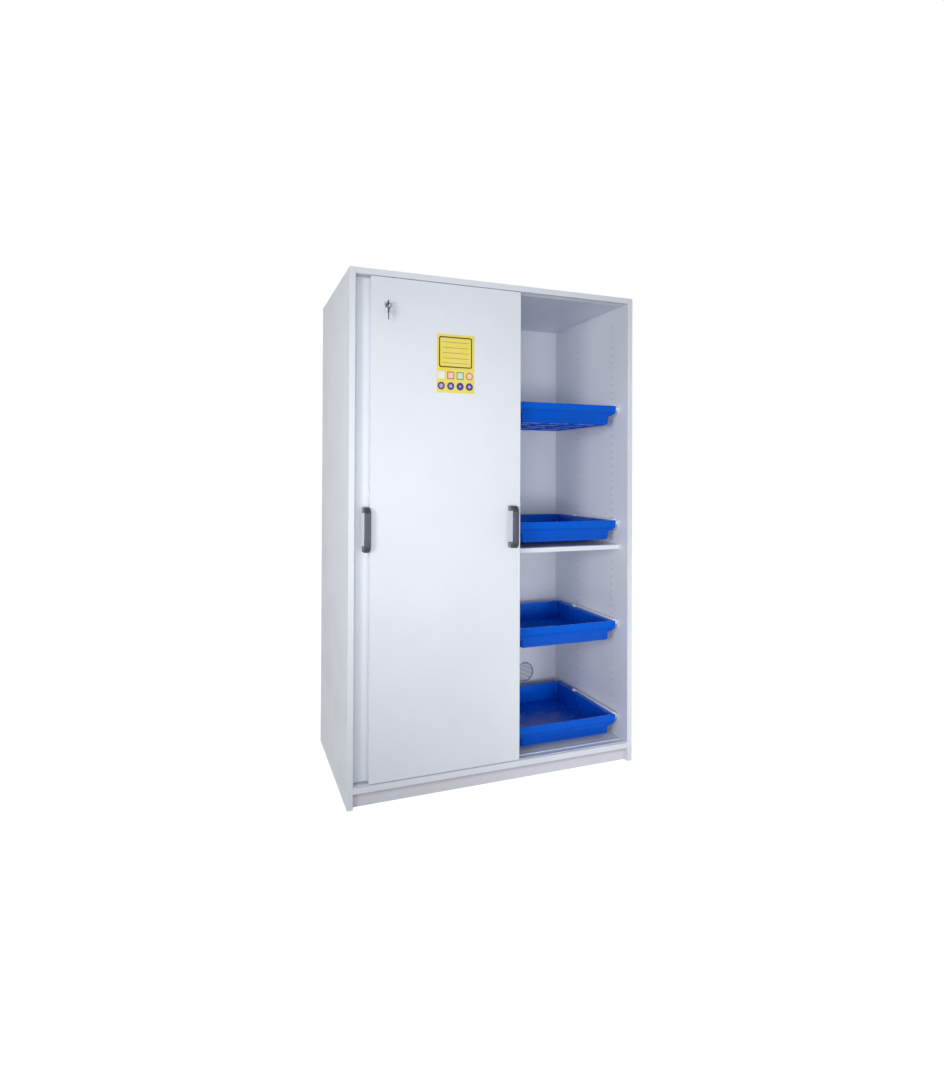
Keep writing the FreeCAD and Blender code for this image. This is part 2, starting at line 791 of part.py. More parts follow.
def flat_key(label, y, z):
    """A flat key along Y from its own origin: a bow with a hole, and a blade with cuts."""
    body = new_body(label, "lock_x", y, z)
    bow = new_sketch(body, "YZ_Plane")
    near = "-key_standoff"
    far = "(-key_standoff - key_bow)"
    half = "key_bow / 2"
    corner = "key_bow_corner"
    add_polygon(bow, [(near, f"{corner} - {half}"), (near, f"{half} - {corner}"),
                      (f"{near} - {corner}", half), (f"{far} + {corner}", half),
                      (far, f"{half} - {corner}"), (far, f"{corner} - {half}"),
                      (f"{far} + {corner}", f"-{half}"), (f"{near} - {corner}", f"-{half}")])
    pad(body, bow, "YZ_Plane", "key_thickness", "+X", both_ways=True)
    blade = new_sketch(body, "YZ_Plane")
    low = "-key_blade_height / 2"
    high = "key_blade_height / 2"
    corners = [(f"{near} - {corner}", high), (f"{near} - {corner}", low)]
    for cut in range(sizes["key_cuts"]):
        start = f"({cut} + 0.5) * key_cut_pitch"
        corners.append((start, low))
        corners.append((f"{start} + key_cut_pitch / 2", f"{low} + key_cut_depth"))
    corners += [("key_blade_length - key_blade_height / 2", low), ("key_blade_length", "0"),
                ("key_blade_length - key_blade_height / 2", high)]
    add_polygon(blade, corners)
    pad(body, blade, "YZ_Plane", "key_thickness", "+X", both_ways=True)
    hole = new_sketch(body, "YZ_Plane", "-key_thickness")
    add_circle(hole, "-key_hole_y", "0", "key_hole")
    pocket(body, hole, "YZ_Plane", "2 * key_thickness", "+X")
    return keep(body, label)


def key_ring():
    """The flat-wire ring that hangs in the key's hole."""
    body = new_body("key_ring", "lock_x", "rosette_front - key_hole_y", "ring_top - ring_diameter / 2")
    inner = "(ring_diameter - ring_wire) / 2"
    outer = "(ring_diameter + ring_wire) / 2"
    half = "ring_wire / 2"
    turn(body, [(inner, f"-{half}"), (outer, f"-{half}"), (outer, half), (inner, half)])
    return keep(body, "key_ring")


lock_barrel()
lock_plug()
lock_cam()
lock_catch()
flat_key("key", "rosette_front", "lock_z")
key_ring()
spare_key = flat_key("spare_key", "rosette_front - key_hole_y",
                     "ring_top - ring_diameter - ring_drop - key_hole_y")
spare_key.Placement.Rotation = FreeCAD.Rotation(Vector(1, 0, 0), -90)


# Trays, with the top of the rim at the body's own origin

def tapered_tub(body, depth, inset, corner):
    """A tapering block, drawn in from the tub's outline by an inset, with rounded corners if asked."""
    tub = body.newObject("PartDesign::AdditiveWedge", body.Name + "_wedge")
    lay_on(tub, body, "XZ_Plane")
    front = f"-band_proud - {inset}"
    back = f"tray_back_rim - tray_length + {inset}"
    bind(tub, Ymin=f"-({depth})", Ymax="0",
         X2min=f"{inset} - tub_half", X2max=f"tub_half - {inset}", Z2min=back, Z2max=front,
         Xmin=f"{inset} - tub_half + tray_draft", Xmax=f"tub_half - {inset} - tray_draft",
         Zmin=f"{back} + tray_draft", Zmax=f"{front} - tray_draft")
    if corner:
        middle = number(f"-({depth}) / 2")
        dress(body, "Fillet", tub, corner, lambda point, length: same(point.z, middle))


def tray(label, x, seen):
    """A moulded tray: a tapering tub hung in a flanged rim, behind a fascia with two ears."""
    body = new_body(label, x, "tray_y")
    tapered_tub(body, "tub_depth", "0", "tray_corner" if seen else None)
    rim = new_sketch(body, "XY_Plane")
    add_rectangle(rim, "-rim_edge", "band_proud", "rim_edge", "tray_length")
    pad(body, rim, "XY_Plane", "tray_wall", "-Z")
    lips = new_sketch(body, "XY_Plane")
    lip = "(rim_edge - tray_wall)"
    add_rectangle(lips, "-rim_edge", "band_proud", f"-{lip}", "tray_length")
    add_rectangle(lips, lip, "band_proud", "rim_edge", "tray_length")
    pad(body, lips, "XY_Plane", "tray_lip", "-Z")
    fascia = new_sketch(body, "XZ_Plane", "band_proud")
    ear = "(tray_lip + ear_chamfer_high)"
    step = "(rim_edge - ear_chamfer_wide)"
    add_polygon(fascia, [("-rim_edge", "0"), ("-rim_edge", "-tray_lip"), (f"-{step}", f"-{ear}"),
                         (step, f"-{ear}"), ("rim_edge", "-tray_lip"), ("rim_edge", "0")])
    pad(body, fascia, "XZ_Plane", "tray_wall", "+Y")
    band = new_sketch(body, "XZ_Plane")
    add_rectangle(band, "-rim_edge", "-rim_band", "rim_edge", "0")
    pad(body, band, "XZ_Plane", "band_proud", "+Y")
    if seen:
        tray_ribs(body)
    hollow = new_body(label + "_hollow", x, "tray_y")
    tapered_tub(hollow, "tub_depth - tray_wall", "tray_wall", "tray_corner - tray_wall" if seen else None)
    cut = doc.addObject("Part::Cut", label + "_cut")
    cut.Base = body
    cut.Tool = hollow
    return cut


def tray_ribs(body):
    """Crossing rows of ribs under the floor of a tray, inside its rounded corners."""
    margin = "(tray_draft + tray_corner)"
    side = f"(tub_half - {margin})"
    front = f"(band_proud + {margin})"
    back = f"(tray_length - tray_back_rim - {margin})"
    across = new_sketch(body, "XY_Plane", "-tub_depth")
    add_rectangle(across, f"-{side}", front, side, f"{front} + tray_rib")
    feature = pad(body, across, "XY_Plane", "tray_rib_height", "-Z")
    repeat(body, feature, across, "V_Axis", f"{back} - {front} - tray_rib", "ribs_across")
    along = new_sketch(body, "XY_Plane", "-tub_depth")
    add_rectangle(along, f"-{side}", front, f"tray_rib - {side}", back)
    feature = pad(body, along, "XY_Plane", "tray_rib_height", "-Z")
    repeat(body, feature, along, "H_Axis", f"2 * {side} - tray_rib", "ribs_along")


# Roller slides: a runner on each side of a tray, a rail on the wall, and a roller on each

def roller(body, x, y, drop):
    """A roller on the outer side of a sheet, given by its inner face."""
    disc = new_sketch(body, "YZ_Plane", x)
    add_circle(disc, y, f"-{drop}", "roller_diameter")
    pad(body, disc, "YZ_Plane", "roller_width", "+X")


def runner(label, x, rollers):
    """The bent runner that carries a tray's lip, with a tab over the rim at its rear end."""
    body = new_body(label, x, "tray_y")
    section = new_sketch(body, "XZ_Plane", "runner_start")
    ledge = "-tray_lip"
    add_polygon(section, [("rim_edge - runner_ledge", f"{ledge} - sheet_thickness"),
                          ("web_outer", f"{ledge} - sheet_thickness"), ("web_outer", "0"),
                          ("web_outer + runner_top", "0"), ("web_outer + runner_top", "sheet_thickness"),
                          ("web_inner", "sheet_thickness"), ("web_inner", ledge),
                          ("rim_edge - runner_ledge", ledge)])
    pad(body, section, "XZ_Plane", "runner_length", "+Y")
    tab = new_sketch(body, "XY_Plane")
    add_rectangle(tab, "web_outer - tab_width", "runner_end - tab_length", "web_outer", "runner_end")
    pad(body, tab, "XY_Plane", "sheet_thickness", "+Z")
    if rollers:
        roller(body, "web_outer", "rear_roller_y", "rear_roller_drop")
    return body


def rail(label, x, rollers):
    """The channel on the wall, and the plate in front of it that carries the front roller."""
    body = new_body(label, x, "tray_y")
    section = new_sketch(body, "XZ_Plane", "rail_mouth")
    low = "(-channel_low - sheet_thickness)"
    high = "(sheet_thickness - channel_high)"
    add_polygon(section, [("rail_open_side", low), ("wall_half", low), ("wall_half", high),
                          ("rail_open_side", high), ("rail_open_side", "-channel_high"),
                          ("plate_face", "-channel_high"), ("plate_face", "-channel_low"),
                          ("rail_open_side", "-channel_low")])
    pad(body, section, "XZ_Plane", "runner_end - rail_mouth", "+Y")
    plate = new_sketch(body, "XZ_Plane", "runner_start")
    add_rectangle(plate, "plate_face", low, "wall_half", "sheet_thickness")
    pad(body, plate, "XZ_Plane", "rail_mouth - runner_start", "+Y")
    if rollers:
        roller(body, "front_roller_x", "front_roller_y", "front_roller_drop")
        boss = new_sketch(body, "YZ_Plane", "front_roller_x + roller_width")
        add_rectangle(boss, "front_roller_y - roller_width", "-front_roller_drop - roller_width",
                      "front_roller_y + roller_width", "roller_width - front_roller_drop")
        pad(body, boss, "YZ_Plane", "plate_face - front_roller_x - roller_width", "+X")
    return body


def tray_column(side):
    """Four trays on their slides, plainer and without rollers where the doors hide the column."""
    seen = side == "right"
    x = "column_centre" if seen else "-column_centre"
    pan = tray("tray", x, seen)
    both_runners = runner("runner", x, seen)
    both_runners = together("runners", [both_runners, mirrored(both_runners, x)])
    both_rails = rail("rail", x, seen)
    both_rails = together("rails", [both_rails, mirrored(both_rails, x)])
    rails = []
    for level, rim in enumerate(rim_heights, 1):
        keep(together("tray", [pan], rim), f"{side}_tray_{level}")
        keep(together("runners", [both_runners], rim), f"{side}_runners_{level}")
        rails.append(together("rails", [both_rails], rim))
    keep(together("rails", rails), f"{side}_rails")


rim_heights = ["floor_top + low_tray_rise", "floor_top + second_tray_rise",
               "shelf_top + third_tray_rise", "shelf_top + top_tray_rise"]
for side in ("left", "right"):
    tray_column(side)

# Build everything, refuse anything that failed, and write one file for each sub-part

doc.recompute()
failed = [item.Name for item in doc.Objects if "Invalid" in item.State or "Error" in item.State]
if failed:
    raise ValueError("failed objects: " + ", ".join(failed))
os.makedirs("parts", exist_ok=True)
for item in sub_parts:
    if item.Shape.isNull() or not item.Shape.isValid() or not item.Shape.Solids:
        raise ValueError("bad shape: " + item.Label)
    item.Shape.exportStep(f"parts/{item.Label}.step")
print(len(sub_parts), "sub-parts written")
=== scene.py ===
import json
import math
import bpy
import bmesh
from mathutils import Matrix, Vector


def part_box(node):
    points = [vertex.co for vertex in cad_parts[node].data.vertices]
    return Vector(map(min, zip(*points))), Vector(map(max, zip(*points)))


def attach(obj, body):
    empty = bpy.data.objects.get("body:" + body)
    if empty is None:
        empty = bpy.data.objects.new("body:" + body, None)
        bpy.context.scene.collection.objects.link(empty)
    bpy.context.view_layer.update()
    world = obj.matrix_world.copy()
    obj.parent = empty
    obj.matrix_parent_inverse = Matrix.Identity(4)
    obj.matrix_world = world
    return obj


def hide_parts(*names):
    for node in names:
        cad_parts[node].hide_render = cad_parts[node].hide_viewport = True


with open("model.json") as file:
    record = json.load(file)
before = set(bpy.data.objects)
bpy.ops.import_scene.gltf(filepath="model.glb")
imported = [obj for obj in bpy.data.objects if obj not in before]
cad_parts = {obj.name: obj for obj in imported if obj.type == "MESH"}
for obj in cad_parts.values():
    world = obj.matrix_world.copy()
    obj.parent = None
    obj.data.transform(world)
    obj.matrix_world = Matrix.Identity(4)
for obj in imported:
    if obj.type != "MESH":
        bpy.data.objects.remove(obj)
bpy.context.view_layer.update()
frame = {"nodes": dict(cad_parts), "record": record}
nodes = frame["nodes"]
bodyOf = {name: body for body, members in frame["record"]["behaviour"]["bodies"].items() for name in members}
print("cabinet loaded,", len(nodes), "nodes")


# small helpers for node trees

def addNode(tree, kind, place=(0, 0), **settings):
    made = tree.nodes.new(kind)
    made.location = place
    for name, value in settings.items():
        setattr(made, name, value)
    return made


def feed(tree, source, target):
    if isinstance(source, bpy.types.NodeSocket):
        tree.links.new(source, target)
    else:
        target.default_value = source


def mathNode(tree, operation, first, second=None):
    made = addNode(tree, "ShaderNodeMath", operation=operation)
    feed(tree, first, made.inputs[0])
    if second is not None:
        feed(tree, second, made.inputs[1])
    return made.outputs[0]


def vectorNode(tree, operation, first, second=None):
    made = addNode(tree, "ShaderNodeVectorMath", operation=operation)
    feed(tree, first, made.inputs[0])
    if second is not None:
        feed(tree, second, made.inputs[1])
    return made.outputs[0]


def addNodeLinked(tree, kind, source):
    made = addNode(tree, kind)
    tree.links.new(source, made.inputs[0])
    return made


def splitVector(tree, source):
    return addNodeLinked(tree, "ShaderNodeSeparateXYZ", source).outputs


def ramp(tree, value, low, high, start=0.0, end=1.0):
    made = addNode(tree, "ShaderNodeMapRange", interpolation_type="SMOOTHSTEP")
    for name, item in (("Value", value), ("From Min", low), ("From Max", high),
                       ("To Min", start), ("To Max", end)):
        feed(tree, item, made.inputs[name])
    return made.outputs[0]


def blendColour(tree, mask, first, second, kind="MIX"):
    made = addNode(tree, "ShaderNodeMix", data_type="RGBA", blend_type=kind)
    feed(tree, mask, made.inputs[0])
    feed(tree, first, made.inputs[6])
    feed(tree, second, made.inputs[7])
    return made.outputs[2]


def overlay(tree, mask, share, under, over):
    # one colour laid on another through a share of a mask
    return blendColour(tree, mathNode(tree, "MULTIPLY", mask, share), under, over)


def noiseNode(tree, where, scale, detail=3.0, rough=0.5):
    made = addNode(tree, "ShaderNodeTexNoise")
    feed(tree, where, made.inputs["Vector"])
    feed(tree, scale, made.inputs["Scale"])
    made.inputs["Detail"].default_value = detail
    made.inputs["Roughness"].default_value = rough
    return made.outputs[0]


def newGroup(name, inputs, outputs):
    tree = bpy.data.node_groups.new(name, "ShaderNodeTree")
    for label, value in inputs.items():
        kind = "NodeSocketFloat" if isinstance(value, float) else "NodeSocketVector"
        tree.interface.new_socket(label, in_out="INPUT", socket_type=kind).default_value = value
    for label in outputs:
        tree.interface.new_socket(label, in_out="OUTPUT", socket_type="NodeSocketFloat")
    start = addNode(tree, "NodeGroupInput", (-1200, 0))
    end = addNode(tree, "NodeGroupOutput", (900, 0))
    return tree, start.outputs, end.inputs


def useGroup(tree, group, **values):
    made = addNode(tree, "ShaderNodeGroup")
    made.node_tree = group
    for name, value in values.items():
        feed(tree, value, made.inputs[name])
    return made.outputs


# surface effects that several finishes share

def makeFineGrain():
    # the slight pebble of coatings and mouldings, and a cloudy drift in tone
    tree, given, out = newGroup("fineGrain", {"Where": (0, 0, 0), "Scale": 700.0, "Cloud": 2.5},
                                ["Tone", "Height"])
    tree.links.new(noiseNode(tree, given["Where"], given["Cloud"], 3.0, 0.6), out["Tone"])
    pebble = noiseNode(tree, given["Where"], given["Scale"], 2.0, 0.45)
    tree.links.new(ramp(tree, pebble, 0.3, 0.7), out["Height"])
    return tree


def makeBoardArris():
    # how near a point of a board is to the board's long edges, from the corners of its box
    tree, given, out = newGroup("boardArris", {"Where": (0, 0, 0), "Low": (0, 0, 0), "High": (1, 1, 1),
                                               "Reach": 0.006, "Band": 0.0014}, ["Edge", "Seam", "Chip"])
    inside = vectorNode(tree, "MINIMUM", vectorNode(tree, "SUBTRACT", given["Where"], given["Low"]),
                        vectorNode(tree, "SUBTRACT", given["High"], given["Where"]))
    x, y, z = splitVector(tree, inside)
    least = mathNode(tree, "MINIMUM", mathNode(tree, "MINIMUM", x, y), z)
    most = mathNode(tree, "MAXIMUM", mathNode(tree, "MAXIMUM", x, y), z)
    total = mathNode(tree, "ADD", mathNode(tree, "ADD", x, y), z)
    middle = mathNode(tree, "SUBTRACT", mathNode(tree, "SUBTRACT", total, least), most)
    edge = ramp(tree, middle, 0.0, given["Reach"], 1.0, 0.0)
    tree.links.new(edge, out["Edge"])
    fromBand = mathNode(tree, "ABSOLUTE", mathNode(tree, "SUBTRACT", middle, given["Band"]))
    tree.links.new(ramp(tree, fromBand, 0.0001, 0.0004, 1.0, 0.0), out["Seam"])
    patches = ramp(tree, noiseNode(tree, given["Where"], 55.0, 4.0, 0.7), 0.56, 0.66)
    tree.links.new(mathNode(tree, "MULTIPLY", edge, patches), out["Chip"])
    return tree


def makeHandlingMarks():
    # smudges from hands, fine scuffs, and dust on what faces up
    tree, given, out = newGroup("handlingMarks", {"Where": (0, 0, 0), "Scale": 7.0, "Turn": 0.5},
                                ["Smudge", "Scuff", "Dust"])
    smudge = noiseNode(tree, given["Where"], given["Scale"], 4.0, 0.65)
    tree.links.new(ramp(tree, smudge, 0.42, 0.68), out["Smudge"])
    turned = addNode(tree, "ShaderNodeVectorRotate", rotation_type="AXIS_ANGLE")
    turned.inputs["Axis"].default_value = (0.5, 0.7, 0.5)
    tree.links.new(given["Where"], turned.inputs["Vector"])
    tree.links.new(given["Turn"], turned.inputs["Angle"])
    drawn = vectorNode(tree, "MULTIPLY", turned.outputs[0], (9.0, 420.0, 260.0))
    lines = ramp(tree, noiseNode(tree, drawn, 1.0, 2.0, 0.5), 0.7, 0.76)
    places = ramp(tree, noiseNode(tree, given["Where"], 3.7, 2.0, 0.5), 0.52, 0.66)
    tree.links.new(mathNode(tree, "MULTIPLY", lines, places), out["Scuff"])
    facing = splitVector(tree, addNode(tree, "ShaderNodeNewGeometry").outputs["Normal"])[2]
    settled = ramp(tree, noiseNode(tree, given["Where"], 26.0, 4.0, 0.6), 0.35, 0.75)
    tree.links.new(mathNode(tree, "MULTIPLY", ramp(tree, facing, 0.6, 0.95), settled), out["Dust"])
    return tree


def makeDrawnMetal():
    # the fine lines that turning, drawing or polishing leaves in metal
    tree, given, out = newGroup("drawnMetal", {"Where": (0, 0, 0), "Stretch": (60.0, 60.0, 4000.0)},
                                ["Line", "Tone"])
    long = vectorNode(tree, "MULTIPLY", given["Where"], given["Stretch"])
    tree.links.new(noiseNode(tree, long, 1.0, 3.0, 0.6), out["Line"])
    tree.links.new(ramp(tree, noiseNode(tree, given["Where"], 120.0, 4.0, 0.65), 0.35, 0.7), out["Tone"])
    return tree


def makePrintedPatch():
    # a printed shape with rounded corners, by its middle and half sizes in X and Z
    tree, given, out = newGroup("printedPatch", {"Where": (0, 0, 0), "Middle": (0, 0, 0),
                                                 "Half": (0.01, 0, 0.01), "Corner": 0.002}, ["Ink"])
    away = vectorNode(tree, "ABSOLUTE", vectorNode(tree, "SUBTRACT", given["Where"], given["Middle"]))
    reach = splitVector(tree, vectorNode(tree, "SUBTRACT", away, given["Half"]))
    across = mathNode(tree, "ADD", reach[0], given["Corner"])
    up = mathNode(tree, "ADD", reach[2], given["Corner"])
    outX = mathNode(tree, "MAXIMUM", across, 0.0)
    outZ = mathNode(tree, "MAXIMUM", up, 0.0)
    beyond = mathNode(tree, "SQRT", mathNode(tree, "ADD", mathNode(tree, "MULTIPLY", outX, outX),
                                             mathNode(tree, "MULTIPLY", outZ, outZ)))
    within = mathNode(tree, "MINIMUM", mathNode(tree, "MAXIMUM", across, up), 0.0)
    distance = mathNode(tree, "SUBTRACT", mathNode(tree, "ADD", beyond, within), given["Corner"])
    tree.links.new(ramp(tree, distance, -0.00025, 0.00025, 1.0, 0.0), out["Ink"])
    return tree


fineGrain = makeFineGrain()
boardArris = makeBoardArris()
handlingMarks = makeHandlingMarks()
drawnMetal = makeDrawnMetal()
printedPatch = makePrintedPatch()


def linear(red, green, blue):
    parts = [channel / 255 for channel in (red, green, blue)]
    return tuple(c / 12.92 if c < 0.04045 else ((c + 0.055) / 1.055) ** 2.4 for c in parts) + (1.0,)


def newFinish(name, **sockets):
    material = bpy.data.materials.new(name)
    material.use_nodes = True
    tree = material.node_tree
    shader = tree.nodes["Principled BSDF"]
    for label, value in sockets.items():
        shader.inputs[label.replace("_", " ")].default_value = value
    where = addNode(tree, "ShaderNodeTexCoord", (-1400, 0)).outputs["Object"]
    return material, tree, shader, where


def addRelief(tree, shader, height, distance):
    bump = addNode(tree, "ShaderNodeBump", (-200, -300))
    bump.inputs["Distance"].default_value = distance
    bump.inputs["Strength"].default_value = 1.0
    tree.links.new(height, bump.inputs["Height"])
    tree.links.new(bump.outputs[0], shader.inputs["Normal"])


# coated boards: a fine pebbled film, edge bands with a hairline joint, light use, and painted shade at the
# plinth's top

boardLook = {
    "film": linear(232, 236, 244),
    "band": linear(236, 240, 247),
    "seam": linear(176, 180, 190),
    "worn": linear(196, 196, 200),
    "dust": linear(196, 196, 198),
    # plinth colour: the plinth board's own tint, laid on more strongly towards its top as painted shade
    "plinth": linear(182, 176, 184),
    "roughness": 0.38,
    "pebble": 850.0,
    "pebbleDepth": 0.00003,
    "darkest": 0.965,
    "edgeShare": 0.6,
    "seamShare": 0.35,
    "chipShare": 0.35,
    "scuffShare": 0.1,
    "dustShare": 0.22,
    "seamDepth": 1.5,
    "smudgeRough": 0.1,
    "dustRough": 0.2,
    "paintedLipShade": (0.022, 0.052),
    "plinthTintShare": 0.25,
}


def boardFinish(node):
    # the plinth is a plainer board with its own tint, and painted shade darkens it towards its top under the
    # bottom board's lip
    material, tree, shader, where = newFinish("coatedBoard_" + node, Specular_IOR_Level=0.45)
    look = boardLook
    low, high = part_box(node)
    grain = useGroup(tree, fineGrain, Where=where, Scale=look["pebble"])
    arris = useGroup(tree, boardArris, Where=where, Low=low, High=high)
    marks = useGroup(tree, handlingMarks, Where=where)
    tone = ramp(tree, grain["Tone"], 0.3, 0.7, look["darkest"], 1.0)
    colour = overlay(tree, arris["Edge"], look["edgeShare"], look["film"], look["band"])
    colour = overlay(tree, arris["Seam"], look["seamShare"], colour, look["seam"])
    colour = overlay(tree, arris["Chip"], look["chipShare"], colour, look["worn"])
    colour = overlay(tree, marks["Scuff"], look["scuffShare"], colour, look["worn"])
    colour = overlay(tree, marks["Dust"], look["dustShare"], colour, look["dust"])
    if node == "plinth":
        # painted shade: towards the plinth's top, under the bottom board's lip, the plinth colour takes over
        paintedLipShade = ramp(tree, splitVector(tree, where)[2], *look["paintedLipShade"])
        tintAndShade = ramp(tree, paintedLipShade, 0.0, 1.0, look["plinthTintShare"], 1.0)
        colour = blendColour(tree, tintAndShade, colour, look["plinth"])
    shade = addNode(tree, "ShaderNodeCombineColor")
    for channel in shade.inputs:
        tree.links.new(tone, channel)
    colour = blendColour(tree, 1.0, colour, shade.outputs[0], "MULTIPLY")
    tree.links.new(colour, shader.inputs["Base Color"])
    smudged = ramp(tree, marks["Smudge"], 0.0, 1.0, 0.0, look["smudgeRough"])
    rough = mathNode(tree, "ADD", smudged, look["roughness"])
    rough = mathNode(tree, "ADD", rough, mathNode(tree, "MULTIPLY", marks["Dust"], look["dustRough"]))
    tree.links.new(rough, shader.inputs["Roughness"])
    seam = mathNode(tree, "MULTIPLY", arris["Seam"], look["seamDepth"])
    addRelief(tree, shader, mathNode(tree, "SUBTRACT", grain["Height"], seam), look["pebbleDepth"])
    return material


# moulded plastics: blue trays, grey handles, nylon wheels and the vent's grille

plasticLooks = {
    "trayBlue": {"colour": linear(0, 86, 208), "drift": linear(0, 82, 200),
                 "worn": linear(60, 122, 222), "dust": linear(70, 118, 205),
                 "roughness": 0.2, "grain": 900.0, "depth": 0.00001, "use": 0.12,
                 "shine": 0.5, "tint": (0.08, 0.38, 1.0, 1.0), "lines": (0.0315, 0.0665),
                 # the last two colours are painted light on the tray fronts: a painted shadow along each
                 # moulded step and a painted highlight on the band under the rim
                 "shade": linear(0, 42, 130), "rimHighlight": linear(4, 108, 236)},
    "trayBlueHidden": {"colour": linear(0, 84, 210), "drift": linear(0, 78, 200),
                       "worn": linear(60, 118, 214), "dust": linear(70, 112, 195),
                       "roughness": 0.26, "grain": 900.0, "depth": 0.00001, "use": 0.3,
                       "shine": 0.5, "tint": (0.08, 0.38, 1.0, 1.0)},
    "handleGrey": {"colour": linear(74, 79, 98), "drift": linear(66, 71, 89),
                   "worn": linear(128, 130, 142), "dust": linear(140, 142, 150),
                   "roughness": 0.34, "grain": 1500.0, "depth": 0.00003, "use": 0.5,
                   # the darkest colour here is painted shade at the bow's bends
                   "bend": linear(46, 49, 58), "foot": linear(116, 119, 128)},
    "nylon": {"colour": linear(226, 226, 222), "drift": linear(214, 214, 208),
              "worn": linear(176, 174, 168), "dust": linear(168, 166, 162),
              "roughness": 0.45, "grain": 900.0, "depth": 0.00003, "use": 0.6},
    "fittingGrey": {"colour": linear(150, 153, 160), "drift": linear(138, 141, 149),
                    "worn": linear(180, 182, 186), "dust": linear(150, 150, 152),
                    "roughness": 0.42, "grain": 900.0, "depth": 0.00003, "use": 0.5},
    # bore walls: raw board colour, darkened and tinted with painted shade for the holes' depth
    "boreCoreAndShade": {"colour": linear(138, 136, 146), "drift": linear(120, 118, 128),
                "worn": linear(146, 142, 142), "dust": linear(136, 134, 136),
                "roughness": 0.9, "grain": 1400.0, "depth": 0.0001, "use": 0.2},
    "ventGrey": {"colour": linear(148, 154, 180), "drift": linear(140, 146, 172),
                 "worn": linear(170, 174, 184), "dust": linear(160, 162, 168),
                 "roughness": 0.5, "grain": 900.0, "depth": 0.00003, "use": 0.7},
}

plasticWear = {
    "cloud": 4.0,
    "markScale": 14.0,
    "markTurn": 1.1,
    "scuffShare": 0.5,
    "dustShare": 0.16,
    "smudgeRough": 0.12,
    "scuffRough": 0.2,
}

# tray fronts: grooves in the relief, with a painted shadow along each step and a painted highlight just under
# the rim
trayLines = {
    "facing": (-0.97, -0.9),
    "grooveHalf": 0.0016,
    "grooveDepth": 30.0,
    "shadeHalf": (0.001, 0.0035),
    "shadeShare": 0.3,
    "rimHighlightBelow": (0.026, 0.030),
    "rimHighlightShare": 0.22,
}


def plasticFinish(name):
    look, wear = plasticLooks[name], plasticWear
    material, tree, shader, where = newFinish(name, Specular_IOR_Level=look.get("shine", 0.5))
    grain = useGroup(tree, fineGrain, Where=where, Scale=look["grain"], Cloud=wear["cloud"])
    marks = useGroup(tree, handlingMarks, Where=where, Scale=wear["markScale"], Turn=wear["markTurn"])
    colour = blendColour(tree, ramp(tree, grain["Tone"], 0.35, 0.7), look["colour"], look["drift"])
    relief = mathNode(tree, "SUBTRACT", grain["Height"], marks["Scuff"])
    if "tint" in look:
        shader.inputs["Specular Tint"].default_value = look["tint"]
    if "bend" in look:
        place = addNode(tree, "ShaderNodeAttribute", attribute_name="alongBow").outputs["Fac"]
        colour = blendColour(tree, ramp(tree, place, 0.95, 0.5), colour, look["foot"])
        # painted shade: darker over the bends of the bow
        colour = overlay(tree, ramp(tree, place, 0.9, 1.1), ramp(tree, place, 2.1, 1.85), colour, look["bend"])
    # tray fronts: real grooves in the relief, plus a painted shadow along each groove and a painted highlight
    # on the band under the rim
    if "lines" in look:
        down = addNode(tree, "ShaderNodeAttribute", attribute_name="belowRim").outputs["Fac"]
        facing = splitVector(tree, addNode(tree, "ShaderNodeNewGeometry").outputs["Normal"])[1]
        front = ramp(tree, facing, *trayLines["facing"], 1.0, 0.0)
        for depth in look["lines"]:
            away = mathNode(tree, "ABSOLUTE", mathNode(tree, "SUBTRACT", down, depth))
            groove = ramp(tree, away, 0.0, trayLines["grooveHalf"], trayLines["grooveDepth"], 0.0)
            relief = mathNode(tree, "SUBTRACT", relief, groove)
            shaded = ramp(tree, away, *trayLines["shadeHalf"], trayLines["shadeShare"], 0.0)
            colour = overlay(tree, shaded, front, colour, look["shade"])
        rimHighlight = ramp(tree, down, *trayLines["rimHighlightBelow"], trayLines["rimHighlightShare"], 0.0)
        colour = overlay(tree, rimHighlight, front, colour, look["rimHighlight"])
    colour = overlay(tree, marks["Scuff"], wear["scuffShare"] * look["use"], colour, look["worn"])
    colour = overlay(tree, marks["Dust"], wear["dustShare"] * look["use"], colour, look["dust"])
    tree.links.new(colour, shader.inputs["Base Color"])
    smudged = ramp(tree, marks["Smudge"], 0.0, 1.0, 0.0, wear["smudgeRough"])
    rough = mathNode(tree, "ADD", smudged, look["roughness"])
    rough = mathNode(tree, "ADD", rough, mathNode(tree, "MULTIPLY", marks["Scuff"], wear["scuffRough"]))
    tree.links.new(rough, shader.inputs["Roughness"])
    addRelief(tree, shader, relief, look["depth"])
    return material


# painted and plated metal: slides, tracks, lock and keys

metalLooks = {
    "slideWhite": {"colour": linear(240, 243, 250), "other": linear(230, 233, 241), "metallic": 0.0,
                   "roughness": 0.36, "stretch": (30.0, 8.0, 30.0), "depth": 0.00002},
    "trackWhite": {"colour": linear(228, 232, 240), "other": linear(216, 220, 229), "metallic": 0.0,
                   "roughness": 0.34, "stretch": (8.0, 900.0, 900.0), "depth": 0.00001},
    "lockChrome": {"colour": linear(214, 217, 225), "other": linear(190, 193, 202), "metallic": 1.0,
                   "roughness": 0.24, "stretch": (2500.0, 300.0, 2500.0), "depth": 0.000006},
    "keySteel": {"colour": linear(78, 82, 94), "other": linear(54, 57, 68), "metallic": 1.0,
                 "roughness": 0.27, "stretch": (400.0, 300.0, 4000.0), "depth": 0.000008},
}

metalWear = {
    "markScale": 20.0,
    "scuffShare": 0.4,
    "smudgeRough": 0.14,
    "lineRough": (-0.04, 0.06),
}


